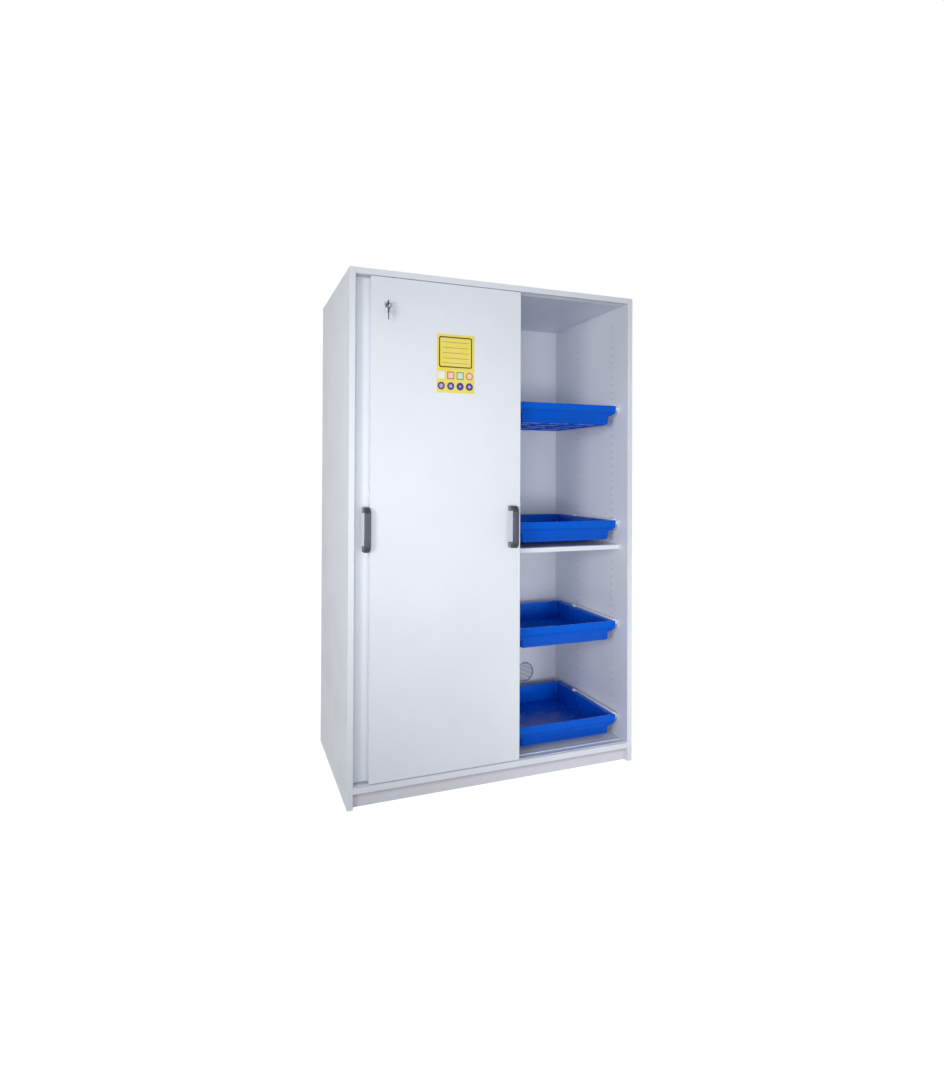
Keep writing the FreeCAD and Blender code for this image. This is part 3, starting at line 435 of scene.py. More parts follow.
def metalFinish(name):
    look, wear = metalLooks[name], metalWear
    material, tree, shader, where = newFinish(name, Metallic=look["metallic"])
    lines = useGroup(tree, drawnMetal, Where=where, Stretch=look["stretch"])
    marks = useGroup(tree, handlingMarks, Where=where, Scale=wear["markScale"])
    colour = blendColour(tree, lines["Tone"], look["colour"], look["other"])
    colour = overlay(tree, marks["Scuff"], wear["scuffShare"], colour, look["other"])
    tree.links.new(colour, shader.inputs["Base Color"])
    smudged = ramp(tree, marks["Smudge"], 0.0, 1.0, 0.0, wear["smudgeRough"])
    rough = mathNode(tree, "ADD", smudged, look["roughness"])
    rough = mathNode(tree, "ADD", rough, ramp(tree, lines["Line"], 0.3, 0.7, *wear["lineRough"]))
    tree.links.new(rough, shader.inputs["Roughness"])
    addRelief(tree, shader, lines["Line"], look["depth"])
    return material


# the card on the front door: a frame with ruled lines, and rows of plain colour patches

cardLook = {
    "yellow": linear(238, 219, 84),
    "ink": linear(62, 50, 12),
    "white": linear(236, 238, 232),
    "red": linear(198, 84, 74),
    "green": linear(82, 152, 84),
    "blue": linear(66, 58, 132),
    "palePink": linear(240, 206, 190),
    "paleGreen": linear(206, 230, 206),
    "lilac": linear(176, 170, 218),
    "frameMiddle": 0.153,
    "frameHalf": (0.067, 0.058),
    "frameLine": 0.0046,
    "ruledLines": (0.190, 0.170, 0.150, 0.130, 0.112),
    "ruledHalf": 0.0009,
    "squareRow": 0.0655,
    "discRow": 0.0255,
    "columns": (-0.0575, -0.0195, 0.0185, 0.0560),
    "squareHalf": 0.0142,
    "squareRim": 0.0035,
    "discHalf": 0.0146,
    "discInner": (0.0078, 0.0066, 0.0042, 0.0058),
    "roughness": 0.32,
    "grain": 1200.0,
    "cloud": 14.0,
    "fade": 0.12,
    "outerCorner": 0.008,
    "innerCorner": 0.006,
    "ruledInset": 0.014,
    "ruledCorner": 0.0005,
    "ruledShare": 0.7,
    "squareCorner": 0.0015,
    "markScale": 25.0,
    "scuffShare": 0.3,
    "smudgeRough": 0.15,
    "waveScale": 30.0,
    "waveHeight": 4.0,
    "depth": 0.00003,
}


def cardFinish():
    low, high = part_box("label_card")
    middleX = (low.x + high.x) / 2
    material, tree, shader, where = newFinish("cardYellow", Specular_IOR_Level=0.5)
    look = cardLook

    def patch(x, z, halfX, halfZ, corner):
        return useGroup(tree, printedPatch, Where=where, Middle=(middleX + x, 0.0, low.z + z),
                        Half=(halfX, 1.0, halfZ), Corner=corner)["Ink"]

    grain = useGroup(tree, fineGrain, Where=where, Scale=look["grain"], Cloud=look["cloud"])
    marks = useGroup(tree, handlingMarks, Where=where, Scale=look["markScale"])
    faded = ramp(tree, grain["Tone"], 0.3, 0.75, 0.0, look["fade"])
    colour = blendColour(tree, faded, look["yellow"], look["white"])
    halfX, halfZ = look["frameHalf"]
    line = look["frameLine"]
    outer = patch(0.0, look["frameMiddle"], halfX, halfZ, look["outerCorner"])
    inner = patch(0.0, look["frameMiddle"], halfX - line, halfZ - line, look["innerCorner"])
    colour = blendColour(tree, mathNode(tree, "SUBTRACT", outer, inner), colour, look["ink"])
    for z in look["ruledLines"]:
        ruled = patch(0.0, z, halfX - look["ruledInset"], look["ruledHalf"], look["ruledCorner"])
        colour = overlay(tree, ruled, look["ruledShare"], colour, look["ink"])
    half = look["squareHalf"]
    inner = half - look["squareRim"]
    square = look["squareCorner"]
    fills = (("white", "white", square), ("red", "palePink", square), ("green", "paleGreen", square),
             ("red", "palePink", half))
    for x, (rim, fill, corner) in zip(look["columns"], fills):
        colour = blendColour(tree, patch(x, look["squareRow"], half, half, corner), colour, look[rim])
        filled = patch(x, look["squareRow"], inner, inner, min(corner, inner))
        colour = blendColour(tree, filled, colour, look[fill])
    for x, inner in zip(look["columns"], look["discInner"]):
        half = look["discHalf"]
        colour = blendColour(tree, patch(x, look["discRow"], half, half, half), colour, look["blue"])
        colour = blendColour(tree, patch(x, look["discRow"], inner, inner, inner), colour, look["lilac"])
    colour = overlay(tree, marks["Scuff"], look["scuffShare"], colour, look["white"])
    tree.links.new(colour, shader.inputs["Base Color"])
    smudged = ramp(tree, marks["Smudge"], 0.0, 1.0, 0.0, look["smudgeRough"])
    tree.links.new(mathNode(tree, "ADD", smudged, look["roughness"]), shader.inputs["Roughness"])
    wave = mathNode(tree, "MULTIPLY", noiseNode(tree, where, look["waveScale"], 1.0, 0.3), look["waveHeight"])
    addRelief(tree, shader, mathNode(tree, "ADD", grain["Height"], wave), look["depth"])
    return material


finishes = {name: plasticFinish(name) for name in plasticLooks}
finishes.update({name: metalFinish(name) for name in metalLooks})
finishes["cardYellow"] = cardFinish()
print("finishes made,", len(finishes))


# pieces

def putFinish(obj, material):
    obj.data.materials.clear()
    obj.data.materials.append(material)


def finishPiece(name, mesh, body, slot, *stoodFor):
    obj = bpy.data.objects.new(name, mesh)
    bpy.context.scene.collection.objects.link(obj)
    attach(obj, body)
    if stoodFor:
        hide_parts(*stoodFor)
    return obj


def shadeByAngle(mesh, degrees):
    mesh.shade_smooth()
    mesh.set_sharp_from_angle(angle=math.radians(degrees))


def mergedMesh(node, name, convex=False):
    # the node's mesh with its points joined and its flat faces whole, or split into convex ones
    shape = bmesh.new()
    shape.from_mesh(nodes[node].data)
    bmesh.ops.remove_doubles(shape, verts=shape.verts, dist=1e-6)
    bmesh.ops.dissolve_limit(shape, angle_limit=math.radians(0.6), verts=shape.verts, edges=shape.edges)
    if convex:
        bmesh.ops.connect_verts_concave(shape, faces=shape.faces)
    clean = bpy.data.meshes.new(name)
    shape.to_mesh(clean)
    shape.free()
    return clean


def appliedMesh(obj, name):
    made = bpy.data.meshes.new_from_object(obj.evaluated_get(bpy.context.evaluated_depsgraph_get()))
    made.name = name
    return made


softening = {
    "segments": 2,
    "boardWidth": 0.0012,
    "boardDegrees": 60,
    "trayDegrees": 38,
    "partDegrees": 40,
}


def softened(node, width, degrees, flat=False):
    # the node's own shape with its sharp edges rounded over
    mesh = mergedMesh(node, node + "_edges", convex=not flat)
    shadeByAngle(mesh, degrees)
    work = bpy.data.objects.new("work", mesh)
    bpy.context.scene.collection.objects.link(work)
    bevel = work.modifiers.new("arris", "BEVEL")
    bevel.width = width
    bevel.segments = softening["segments"]
    bevel.limit_method = "ANGLE"
    bevel.angle_limit = math.radians(degrees)
    bevel.use_clamp_overlap = True
    bevel.miter_outer = "MITER_ARC"
    bevel.harden_normals = not flat
    made = appliedMesh(work, node + "_finished")
    bpy.data.objects.remove(work)
    if flat:
        made.shade_flat()
    return made


# trees that grow repeated forms: their named inputs, their painted end and the mesh that they leave

def newShapeTree(name, inputs):
    tree = bpy.data.node_groups.new(name, "GeometryNodeTree")
    names = {}
    for label, kind in inputs.items():
        socket = tree.interface.new_socket(label, in_out="INPUT", socket_type="NodeSocket" + kind)
        names[label] = socket.identifier
    tree.interface.new_socket("Geometry", in_out="OUTPUT", socket_type="NodeSocketGeometry")
    return tree, addNode(tree, "NodeGroupInput", (-1200, 0)).outputs, names


def endShapeTree(tree, source, given):
    whole = addNodeLinked(tree, "GeometryNodeRealizeInstances", source)
    paint = addNode(tree, "GeometryNodeSetMaterial")
    tree.links.new(whole.outputs[0], paint.inputs["Geometry"])
    tree.links.new(given["Finish"], paint.inputs["Material"])
    end = addNode(tree, "NodeGroupOutput", (900, 0))
    tree.links.new(paint.outputs[0], end.inputs[0])


def grownMesh(start, tree, names, values, name):
    work = bpy.data.objects.new("work", start)
    grower = work.modifiers.new(tree.name, "NODES")
    grower.node_group = tree
    for label, value in values.items():
        grower[names[label]] = value
    bpy.context.scene.collection.objects.link(work)
    made = appliedMesh(work, name)
    bpy.data.objects.remove(work)
    return made


# coated boards keep their solids; four of them get rows of shelf pin holes

pinHoles = {
    "radius": 0.0025,
    "depth": 0.009,
    "pitch": 0.032,
    "count": 54,
    "firstHeight": 0.142,
    "frontColumn": -0.1625,
    "rearColumn": 0.1015,
    "sides": 14,
    "skin": 0.0002,
    "radiusSlack": 1.05,
    "depthSlack": 1.01,
}


def pinHoleTree():
    tree, given, names = newShapeTree("pinHoleRows", {
        "Geometry": "Geometry", "Face": "Float", "Radius": "Float", "Depth": "Float", "Pitch": "Float",
        "Count": "Int", "First Height": "Float", "Front Column": "Float", "Rear Column": "Float",
        "Finish": "Material"})
    step = addNode(tree, "ShaderNodeCombineXYZ")
    tree.links.new(given["Pitch"], step.inputs[2])
    both = addNode(tree, "GeometryNodeJoinGeometry")
    for column in ("Front Column", "Rear Column"):
        first = addNode(tree, "ShaderNodeCombineXYZ")
        for number, label in enumerate(("Face", column, "First Height")):
            tree.links.new(given[label], first.inputs[number])
        line = addNode(tree, "GeometryNodeMeshLine", mode="OFFSET")
        tree.links.new(given["Count"], line.inputs["Count"])
        tree.links.new(first.outputs[0], line.inputs["Start Location"])
        tree.links.new(step.outputs[0], line.inputs["Offset"])
        tree.links.new(line.outputs[0], both.inputs[0])
    drill = addNode(tree, "GeometryNodeMeshCylinder")
    drill.inputs["Vertices"].default_value = pinHoles["sides"]
    tree.links.new(given["Radius"], drill.inputs["Radius"])
    length = mathNode(tree, "MULTIPLY", given["Depth"], 2.0)
    tree.links.new(length, drill.inputs["Depth"])
    placed = addNode(tree, "GeometryNodeInstanceOnPoints")
    tree.links.new(both.outputs[0], placed.inputs["Points"])
    tree.links.new(drill.outputs["Mesh"], placed.inputs["Instance"])
    placed.inputs["Rotation"].default_value = (0.0, math.pi / 2, 0.0)
    drills = addNode(tree, "GeometryNodeRealizeInstances")
    tree.links.new(placed.outputs[0], drills.inputs[0])
    cut = addNode(tree, "GeometryNodeMeshBoolean", operation="DIFFERENCE", solver="EXACT")
    tree.links.new(given["Geometry"], cut.inputs["Mesh 1"])
    tree.links.new(drills.outputs[0], cut.inputs["Mesh 2"])
    endShapeTree(tree, cut.outputs[0], given)
    return tree, names


holeTree, holeInputs = pinHoleTree()


def drilledBoard(node, face):
    hole = pinHoles
    material = boardFinish(node)
    values = {
        "Face": face, "Radius": hole["radius"], "Depth": hole["depth"], "Pitch": hole["pitch"],
        "Count": hole["count"], "First Height": hole["firstHeight"], "Front Column": hole["frontColumn"],
        "Rear Column": hole["rearColumn"], "Finish": material,
    }
    made = grownMesh(mergedMesh(node, node + "_drilled"), holeTree, holeInputs, values, node + "_with_holes")
    made.shade_flat()
    obj = finishPiece(node + "_board", made, bodyOf[node], "coated_board", node)
    putFinish(obj, material)
    # the bore walls get the darker finish: raw board colour with painted shade
    made.materials.append(finishes["boreCoreAndShade"])
    for part in made.polygons:
        fromColumn = min(abs(part.center.y - hole["frontColumn"]), abs(part.center.y - hole["rearColumn"]))
        inHole = hole["skin"] < abs(part.center.x - face) < hole["depth"] * hole["depthSlack"]
        if fromColumn < hole["radius"] * hole["radiusSlack"] and inHole:
            part.material_index = 1
    print(node, "drilled,", len(made.polygons), "faces")


drilledBoard("side_panel_left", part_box("side_panel_left")[1].x)
drilledBoard("side_panel_right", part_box("side_panel_right")[0].x)
drilledBoard("upright_left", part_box("upright_left")[0].x)
drilledBoard("upright_right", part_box("upright_right")[1].x)

for node in ("top_panel", "bottom_panel", "back_panel", "plinth", "centre_filler"):
    putFinish(nodes[node], boardFinish(node))
for node, name in (("rear_door", "rear_door_board"), ("front_door", "front_door_board"),
                   ("shelf_left", "shelf_left_board"), ("shelf_right", "shelf_right_board")):
    shape = softened(node, softening["boardWidth"], softening["boardDegrees"], True)
    board = finishPiece(name, shape, bodyOf[node], "coated_board", node)
    putFinish(board, boardFinish(node))
print("boards finished")

for node in nodes:
    if node.startswith("left_tray"):
        putFinish(nodes[node], finishes["trayBlueHidden"])
    elif "runners" in node or "rails" in node:
        putFinish(nodes[node], finishes["slideWhite"])
    elif "track" in node:
        putFinish(nodes[node], finishes["trackWhite"])
    elif "wheel" in node:
        putFinish(nodes[node], finishes["nylon"])
    elif "carriages" in node or "guides" in node:
        putFinish(nodes[node], finishes["fittingGrey"])
    elif node in ("lock_barrel", "lock_plug", "lock_cam", "lock_catch"):
        putFinish(nodes[node], finishes["lockChrome"])
    elif node in ("key", "key_ring", "spare_key"):
        putFinish(nodes[node], finishes["keySteel"])
    elif node.endswith("handle"):
        putFinish(nodes[node], finishes["handleGrey"])
putFinish(nodes["label_card"], finishes["cardYellow"])

# blue trays: the moulded rims and corners rounded over, and the slides' folded white edges along their rims

trayTrim = {
    "faceReach": 0.030,
    "offFace": 0.2,
    "edge": 0.0011,
    "edgeRound": 0.0004,
    "setBack": 0.004,
    "frontEnd": 0.010,
    "lift": 0.0001,
    "tabLift": 0.0002,
    "sideGap": 0.0003,
    "lipLow": 0.0045,
    "lipHigh": 0.0030,
    "overlap": 0.001,
    "capWidth": 0.0070,
    "capRise": 0.0042,
    "capOut": 0.0068,
    "dropOut": 0.0042,
    "drop": 0.027,
    "tabBack": 0.097,
    "tabFront": 0.083,
    "tabReach": 0.0075,
    "tabRise": 0.0058,
}


def addBlock(shape, low, high):
    corners = [shape.verts.new((x, y, z)) for x in (low[0], high[0]) for y in (low[1], high[1])
               for z in (low[2], high[2])]
    for order in ((0, 1, 3, 2), (4, 6, 7, 5), (0, 4, 5, 1), (2, 3, 7, 6), (0, 2, 6, 4), (1, 5, 7, 3)):
        shape.faces.new([corners[number] for number in order])


def blocksMesh(name, blocks, width):
    shape = bmesh.new()
    for low, high in blocks:
        addBlock(shape, low, high)
    bmesh.ops.bevel(shape, geom=shape.edges[:], offset=width, segments=2, profile=0.5, affect="EDGES")
    bmesh.ops.recalc_face_normals(shape, faces=shape.faces)
    mesh = bpy.data.meshes.new(name)
    shape.to_mesh(mesh)
    shape.free()
    shadeByAngle(mesh, 40)
    return mesh


def markBelowRim(mesh, low, high):
    # how far under the rim a point of the front face is; the rest of the tray gets no lines
    below = mesh.attributes.new("belowRim", "FLOAT", "POINT")
    for number, vertex in enumerate(mesh.vertices):
        front = vertex.co.y < low.y + trayTrim["faceReach"]
        below.data[number].value = high.z - vertex.co.z if front else trayTrim["offFace"]


def slideEdge(node, number):
    # the runner's folded edge over the rim's outer side, its front end and the tab at the roller
    low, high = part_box(node)
    trim = trayTrim
    outer = high.x + trim["capOut"]
    inner = high.x - trim["capWidth"]
    top = high.z + trim["capRise"]
    side = high.x + trim["sideGap"]
    start = low.y + trim["setBack"]
    blocks = [
        ((inner, start, high.z + trim["lift"]), (outer, trim["tabBack"], top)),
        ((side, start, high.z - trim["drop"]),
         (high.x + trim["dropOut"], low.y + trim["frontEnd"], high.z + trim["tabLift"])),
        ((side, trim["tabBack"] - trim["overlap"], high.z - trim["lipLow"]),
         (outer, high.y - trim["setBack"], high.z - trim["lipHigh"])),
        ((inner - trim["tabReach"], trim["tabFront"], high.z + trim["tabLift"]),
         (inner + trim["overlap"], trim["tabBack"], high.z + trim["tabRise"])),
    ]
    shape = blocksMesh(node + "_slide_edge", blocks, trim["edgeRound"])
    edge = finishPiece(f"slide_edge_{number}", shape, bodyOf[node], "slide_white")
    putFinish(edge, finishes["slideWhite"])


for number in (1, 2, 3, 4):
    for side, name, look in (("right", "blue_tray", "trayBlue"), ("left", "hidden_tray", "trayBlueHidden")):
        node = f"{side}_tray_{number}"
        shape = softened(node, trayTrim["edge"], softening["trayDegrees"])
        markBelowRim(shape, *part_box(node))
        tray = finishPiece(f"{name}_{number}", shape, bodyOf[node], "tray_blue", node)
        putFinish(tray, finishes[look])
    slideEdge(f"right_tray_{number}", number)
print("trays finished")

# bow handles: one rounded section swept out from the door, along the bar and back

handleSizes = {
    "bar": 0.0140,
    "foot": 0.0210,
    "outerBend": 0.0230,
    "edgeRound": 0.0028,
    "footSteps": 8,
    "aroundSteps": 7,
    "bendSteps": 9,
}


def roundedSection(halfWide, halfThick, radius, steps):
    points = []
    for signX, signY, start in ((1, 1, 0), (-1, 1, 90), (-1, -1, 180), (1, -1, 270)):
        for step in range(steps + 1):
            angle = math.radians(start + 90 * step / steps)
            points.append((signX * (halfWide - radius) + radius * math.cos(angle),
                           signY * (halfThick - radius) + radius * math.sin(angle)))
    return points


def bowStations(low, high):
    # middle of the section, its outward direction and its half thickness, from the lower foot to the upper
    bend = handleSizes["outerBend"]
    half = handleSizes["bar"] / 2
    foot = handleSizes["foot"] / 2
    outFace, doorFace = low.y, high.y
    stations = []
    for step in range(handleSizes["footSteps"] + 1):
        along = step / handleSizes["footSteps"]
        ease = along * along * (3 - 2 * along)
        thick = foot + (half - foot) * ease
        y = doorFace + (outFace + bend - doorFace) * along
        stations.append((y, low.z + thick, 0.0, -1.0, thick))
    for step in range(1, handleSizes["bendSteps"] + 1):
        angle = math.radians(90 * step / handleSizes["bendSteps"])
        reach = bend - half
        stations.append((outFace + bend - reach * math.sin(angle), low.z + bend - reach * math.cos(angle),
                         -math.sin(angle), -math.cos(angle), half))
    middle = (low.z + high.z) / 2
    stations += [(y, 2 * middle - z, outY, -outZ, thick) for y, z, outY, outZ, thick in reversed(stations)]
    return stations


def bowHandle(node):
    low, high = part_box(node)
    middleX = (low.x + high.x) / 2
    halfWide = (high.x - low.x) / 2
    shape = bmesh.new()
    zone = shape.verts.layers.float.new("alongBow")
    middleZ = (low.z + high.z) / 2
    bend = handleSizes["outerBend"]
    rings = []
    for y, z, outY, outZ, thick in bowStations(low, high):
        radius = min(handleSizes["edgeRound"], thick * 0.9)
        ring = [shape.verts.new((middleX + u, y + outY * v, z + outZ * v))
                for u, v in roundedSection(halfWide, thick, radius, handleSizes["aroundSteps"])]
        fromDoor = (high.y - y) / (high.y - low.y - bend)
        pastBend = (abs(high.z - middleZ) - abs(z - middleZ)) / bend
        for vertex in ring:
            vertex[zone] = min(fromDoor, 1.0) + (pastBend if fromDoor >= 0.999 else 0.0)
        rings.append(ring)
    for first, second in zip(rings, rings[1:]):
        for number in range(len(first)):
            after = (number + 1) % len(first)
            shape.faces.new((first[number], first[after], second[after], second[number]))
    shape.faces.new(rings[0])
    shape.faces.new(list(reversed(rings[-1])))
    bmesh.ops.recalc_face_normals(shape, faces=shape.faces)
    mesh = bpy.data.meshes.new(node + "_bow")
    shape.to_mesh(mesh)
    shape.free()
    shadeByAngle(mesh, 50)
    bow = finishPiece(node + "_bow", mesh, bodyOf[node], "handle_grey", node)
    putFinish(bow, finishes["handleGrey"])


bowHandle("front_handle")
bowHandle("rear_handle")
print("handles finished")

# lock and keys: their small edges broken

smallParts = {
    "lock_barrel": ("lock_rosette", 0.0005, "lock_chrome", "lockChrome"),
    "lock_plug": ("lock_plug_face", 0.0003, "lock_chrome", "lockChrome"),
    "key": ("key_in_lock", 0.0004, "key_steel", "keySteel"),
    "spare_key": ("key_on_ring", 0.0004, "key_steel", "keySteel"),
    "key_ring": ("split_ring", 0.0004, "key_steel", "keySteel"),
}
for node, (name, width, slot, look) in smallParts.items():
    part = finishPiece(name, softened(node, width, softening["partDegrees"]), bodyOf[node], slot, node)
    putFinish(part, finishes[look])

# vent: a rounded ring, sloping slats and thin uprights across it

ventSizes = {
    "outer": 0.048,
    "inner": 0.0420,
    "slats": 13,
    "pitch": 0.0064,
    "slatWidth": 0.0050,
    "slatThick": 0.0010,
    "slope": 4.0,
    "uprights": 7,
    "uprightPitch": 0.0118,
    "uprightWide": 0.0012,
    "uprightThick": 0.0006,
    "sides": 72,
    "innerRound": 0.0006,
    "outerRound": 0.0012,
    "outerLip": 0.0004,
    "drumDepth": 0.02,
    "trimReach": 0.0003,
    "slatFromBack": 0.0012,
    "uprightFromFront": 0.0004,
}


def ventRing(middle, front, back):
    size = ventSizes
    outer, inner, lip = size["outer"], size["inner"], size["outerLip"]
    profile = [(inner, back), (inner, front + size["innerRound"]), (inner + size["innerRound"], front),
               (outer - size["outerRound"], front), (outer - lip, front + lip),
               (outer, front + size["outerRound"]), (outer, back)]
    shape = bmesh.new()
    rings = []
    for step in range(size["sides"]):
        angle = math.radians(360 / size["sides"] * step)
        cosine, sine = math.cos(angle), math.sin(angle)
        rings.append([shape.verts.new((middle.x + radius * cosine, y, middle.z + radius * sine))
                      for radius, y in profile])
    for number, first in enumerate(rings):
        second = rings[(number + 1) % len(rings)]
        for corner in range(len(profile)):
            after = (corner + 1) % len(profile)
            shape.faces.new((first[corner], second[corner], second[after], first[after]))
    bmesh.ops.recalc_face_normals(shape, faces=shape.faces)
    mesh = bpy.data.meshes.new("vent_ring")
    shape.to_mesh(mesh)
    shape.free()
    return mesh


def ventTree():
    tree, given, names = newShapeTree("ventBars", {
        "Geometry": "Geometry", "Slat Size": "Vector", "Slat Start": "Vector", "Slat Step": "Vector",
        "Slats": "Int", "Slope": "Float", "Upright Size": "Vector", "Upright Start": "Vector",
        "Upright Step": "Vector", "Uprights": "Int", "Middle": "Vector", "Reach": "Float",
        "Finish": "Material"})
    drum = addNode(tree, "GeometryNodeMeshCylinder")
    drum.inputs["Vertices"].default_value = ventSizes["sides"]
    tree.links.new(given["Reach"], drum.inputs["Radius"])
    drum.inputs["Depth"].default_value = ventSizes["drumDepth"]
    placedDrum = addNode(tree, "GeometryNodeTransform")
    tree.links.new(drum.outputs["Mesh"], placedDrum.inputs["Geometry"])
    tree.links.new(given["Middle"], placedDrum.inputs["Translation"])
    placedDrum.inputs["Rotation"].default_value = (math.pi / 2, 0.0, 0.0)
    tilt = addNode(tree, "ShaderNodeCombineXYZ")
    tree.links.new(given["Slope"], tilt.inputs[0])
    whole = addNode(tree, "GeometryNodeJoinGeometry")
    tree.links.new(given["Geometry"], whole.inputs[0])
    for kind, count in (("Slat", "Slats"), ("Upright", "Uprights")):
        bar = addNode(tree, "GeometryNodeMeshCube")
        tree.links.new(given[kind + " Size"], bar.inputs["Size"])
        line = addNode(tree, "GeometryNodeMeshLine", mode="OFFSET")
        tree.links.new(given[count], line.inputs["Count"])
        tree.links.new(given[kind + " Start"], line.inputs["Start Location"])
        tree.links.new(given[kind + " Step"], line.inputs["Offset"])
        placed = addNode(tree, "GeometryNodeInstanceOnPoints")
        tree.links.new(line.outputs[0], placed.inputs["Points"])
        tree.links.new(bar.outputs["Mesh"], placed.inputs["Instance"])
        if kind == "Slat":
            tree.links.new(tilt.outputs[0], placed.inputs["Rotation"])
        bars = addNode(tree, "GeometryNodeRealizeInstances")
        tree.links.new(placed.outputs[0], bars.inputs[0])
        trimmed = addNode(tree, "GeometryNodeMeshBoolean", operation="INTERSECT", solver="EXACT")
        tree.links.new(bars.outputs[0], trimmed.inputs["Mesh 2"])
        tree.links.new(placedDrum.outputs[0], trimmed.inputs["Mesh 2"])
        tree.links.new(trimmed.outputs[0], whole.inputs[0])
    endShapeTree(tree, whole.outputs[0], given)
    return tree, names


def ventPiece():
    low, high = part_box("vent_grille")
    middle = (low + high) / 2
    size = ventSizes
    slatY = high.y - size["slatFromBack"]
    uprightY = low.y + size["uprightFromFront"]
    firstSlat = middle.z - size["pitch"] * (size["slats"] - 1) / 2
    firstUpright = middle.x - size["uprightPitch"] * (size["uprights"] - 1) / 2
    values = {
        "Slat Size": (2 * size["outer"], size["slatThick"], size["slatWidth"]),
        "Slat Start": (middle.x, slatY, firstSlat),
        "Slat Step": (0.0, 0.0, size["pitch"]),
        "Slats": size["slats"],
        "Slope": math.radians(-size["slope"]),
        "Upright Size": (size["uprightWide"], size["uprightThick"], 2 * size["outer"]),
        "Upright Start": (firstUpright, uprightY, middle.z),
        "Upright Step": (size["uprightPitch"], 0.0, 0.0),
        "Uprights": size["uprights"],
        "Middle": tuple(middle),
        "Reach": size["inner"] + size["trimReach"],
        "Finish": finishes["ventGrey"],
    }
    tree, names = ventTree()
    made = grownMesh(ventRing(middle, low.y, high.y), tree, names, values, "vent_louvre")
    shadeByAngle(made, 30)
    piece = finishPiece("vent_louvre", made, bodyOf["vent_grille"], "vent_white", "vent_grille")
    putFinish(piece, finishes["ventGrey"])
    print("vent finished,", len(made.polygons), "faces")


ventPiece()

# studio: white floor and background that only the eye sees as bright, and four plain lamps

studio = {
    "floorSize": 16.0,
    "floorDrop": 0.0004,
    "floorTone": 0.65,
    "floorGlow": 0.93,
    "floorShadow": 0.3,
    "ambient": (0.93, 0.96, 1.0, 1.0),
    "ambientStrength": 0.34,
    "lamps": {
        "front": {"at": (-1.4, -3.2, 0.9), "aim": (-0.2, -0.25, 1.15), "size": 1.1, "power": 4.5,
                  "spread": 60.0},
        "left": {"at": (-3.4, -2.9, 1.5), "aim": (0.2, 0.0, 1.15), "size": 1.4, "power": 9.0,
                 "spread": 60.0},
        "right": {"at": (0.4, -3.6, 0.7), "aim": (0.3, 0.3, 1.3), "size": 1.0, "power": 2.1,
                  "spread": 60.0},
        "low": {"at": (1.1, -3.2, 0.75), "aim": (0.45, 0.0, 0.2), "size": 0.7, "power": 0.7,
                "spread": 26.0},
    },
}


def seenByEye(tree):
    path = addNode(tree, "ShaderNodeLightPath")
    seen = mathNode(tree, "MAXIMUM", path.outputs["Is Camera Ray"], path.outputs["Is Glossy Ray"])
    return mathNode(tree, "MAXIMUM", seen, path.outputs["Is Transmission Ray"])


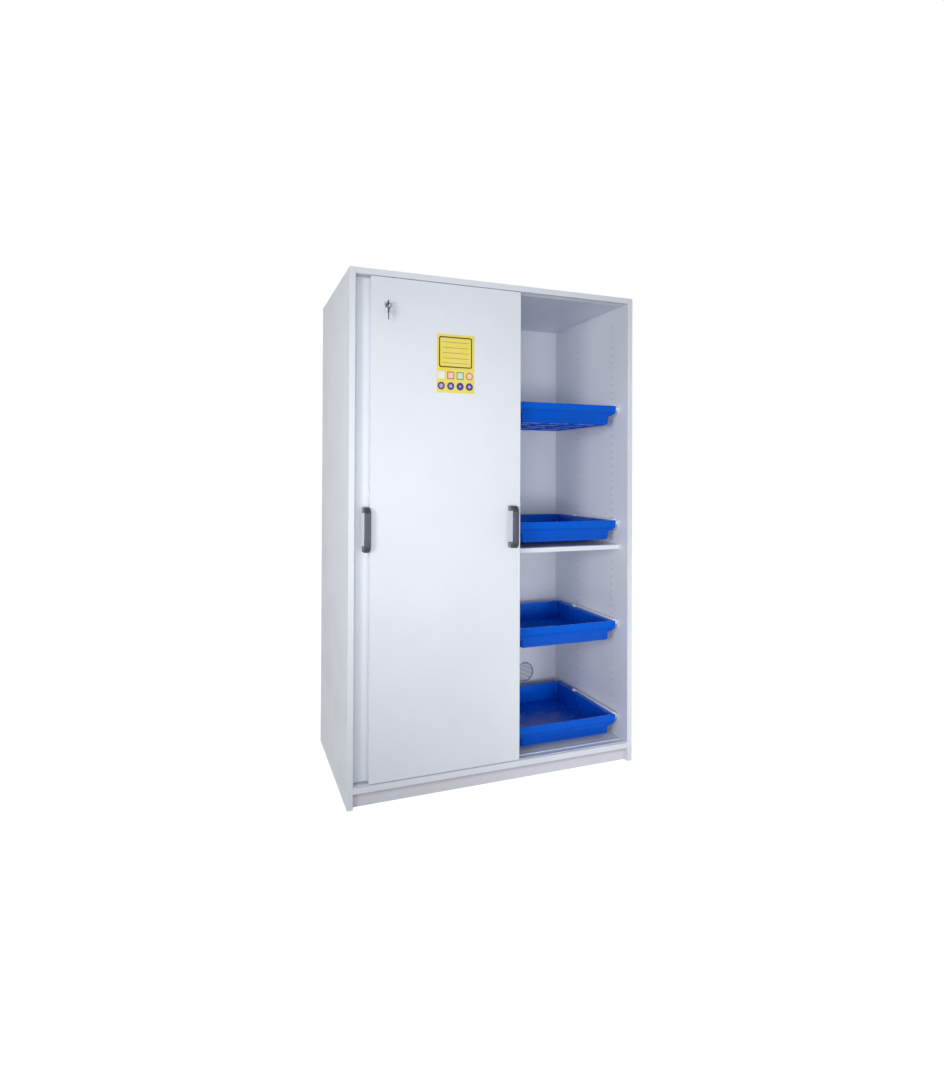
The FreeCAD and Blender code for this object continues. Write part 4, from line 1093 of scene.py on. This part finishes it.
def makeStudio():
    world = bpy.data.worlds.new("studio")
    bpy.context.scene.world = world
    world.use_nodes = True
    tree = world.node_tree
    tree.nodes.clear()
    soft = addNode(tree, "ShaderNodeBackground")
    soft.inputs["Color"].default_value = studio["ambient"]
    soft.inputs["Strength"].default_value = studio["ambientStrength"]
    white = addNode(tree, "ShaderNodeBackground")
    white.inputs["Color"].default_value = (1.0, 1.0, 1.0, 1.0)
    mixed = addNode(tree, "ShaderNodeMixShader")
    tree.links.new(seenByEye(tree), mixed.inputs[0])
    tree.links.new(soft.outputs[0], mixed.inputs[1])
    tree.links.new(white.outputs[0], mixed.inputs[2])
    end = addNode(tree, "ShaderNodeOutputWorld")
    tree.links.new(mixed.outputs[0], end.inputs["Surface"])

    half = studio["floorSize"] / 2
    corners = [(x * half, y * half, -studio["floorDrop"]) for x, y in ((-1, -1), (1, -1), (1, 1), (-1, 1))]
    mesh = bpy.data.meshes.new("floor")
    mesh.from_pydata(corners, [], [(0, 1, 2, 3)])
    floor = bpy.data.objects.new("floor", mesh)
    bpy.context.scene.collection.objects.link(floor)
    material = bpy.data.materials.new("paleFloor")
    material.use_nodes = True
    tree = material.node_tree
    tree.nodes.clear()
    plain = addNode(tree, "ShaderNodeBsdfDiffuse")
    plain.inputs["Color"].default_value = (studio["floorTone"],) * 3 + (1.0,)
    bright = addNode(tree, "ShaderNodeBsdfDiffuse")
    bright.inputs["Color"].default_value = (studio["floorShadow"],) * 3 + (1.0,)
    glow = addNode(tree, "ShaderNodeEmission")
    glow.inputs["Strength"].default_value = studio["floorGlow"]
    lifted = addNode(tree, "ShaderNodeAddShader")
    tree.links.new(bright.outputs[0], lifted.inputs[0])
    tree.links.new(glow.outputs[0], lifted.inputs[1])
    mixed = addNode(tree, "ShaderNodeMixShader")
    tree.links.new(seenByEye(tree), mixed.inputs[0])
    tree.links.new(plain.outputs[0], mixed.inputs[1])
    tree.links.new(lifted.outputs[0], mixed.inputs[2])
    end = addNode(tree, "ShaderNodeOutputMaterial")
    tree.links.new(mixed.outputs[0], end.inputs["Surface"])
    putFinish(floor, material)

    for name, lamp in studio["lamps"].items():
        light = bpy.data.lights.new(name + "Lamp", "AREA")
        light.shape = "SQUARE"
        light.size = lamp["size"]
        light.energy = lamp["power"]
        light.spread = math.radians(lamp["spread"])
        obj = bpy.data.objects.new(name + "Lamp", light)
        obj.location = lamp["at"]
        obj.rotation_euler = (Vector(lamp["aim"]) - Vector(lamp["at"])).to_track_quat("-Z", "Y").to_euler()
        obj.visible_camera = False
        bpy.context.scene.collection.objects.link(obj)


makeStudio()

# camera at the photograph's place, with its framing

view = {
    "at": (-1.02575, -2.40635, 1.19471),
    "yaw": 19.177,
    "pitch": 0.4283,
    "roll": -0.2593,
    "focalPixels": 608.0153,
    "middlePixels": (432.8884, 468.7223),
    "frame": (944, 1080),
}


def makeCamera():
    yaw, pitch, roll = (math.radians(view[name]) for name in ("yaw", "pitch", "roll"))
    ahead = Vector((math.sin(yaw) * math.cos(pitch), math.cos(yaw) * math.cos(pitch), math.sin(pitch)))
    level = Vector((math.cos(yaw), -math.sin(yaw), 0.0))
    down = ahead.cross(level)
    right = math.cos(roll) * level + math.sin(roll) * down
    below = -math.sin(roll) * level + math.cos(roll) * down
    turn = Matrix((right, -below, -ahead)).transposed()
    data = bpy.data.cameras.new("photoCamera")
    wide, tall = view["frame"]
    data.sensor_fit = "AUTO"
    data.sensor_width = 36.0
    data.lens = view["focalPixels"] / max(wide, tall) * data.sensor_width
    data.shift_x = (wide / 2 - view["middlePixels"][0]) / max(wide, tall)
    data.shift_y = (view["middlePixels"][1] - tall / 2) / max(wide, tall)
    data.clip_start = 0.05
    data.clip_end = 60.0
    data.dof.use_dof = False
    camera = bpy.data.objects.new("photoCamera", data)
    camera.matrix_world = Matrix.Translation(view["at"]) @ turn.to_4x4()
    bpy.context.scene.collection.objects.link(camera)
    bpy.context.scene.camera = camera


makeCamera()
bpy.context.scene.view_settings.view_transform = "Standard"
print("studio and camera set")
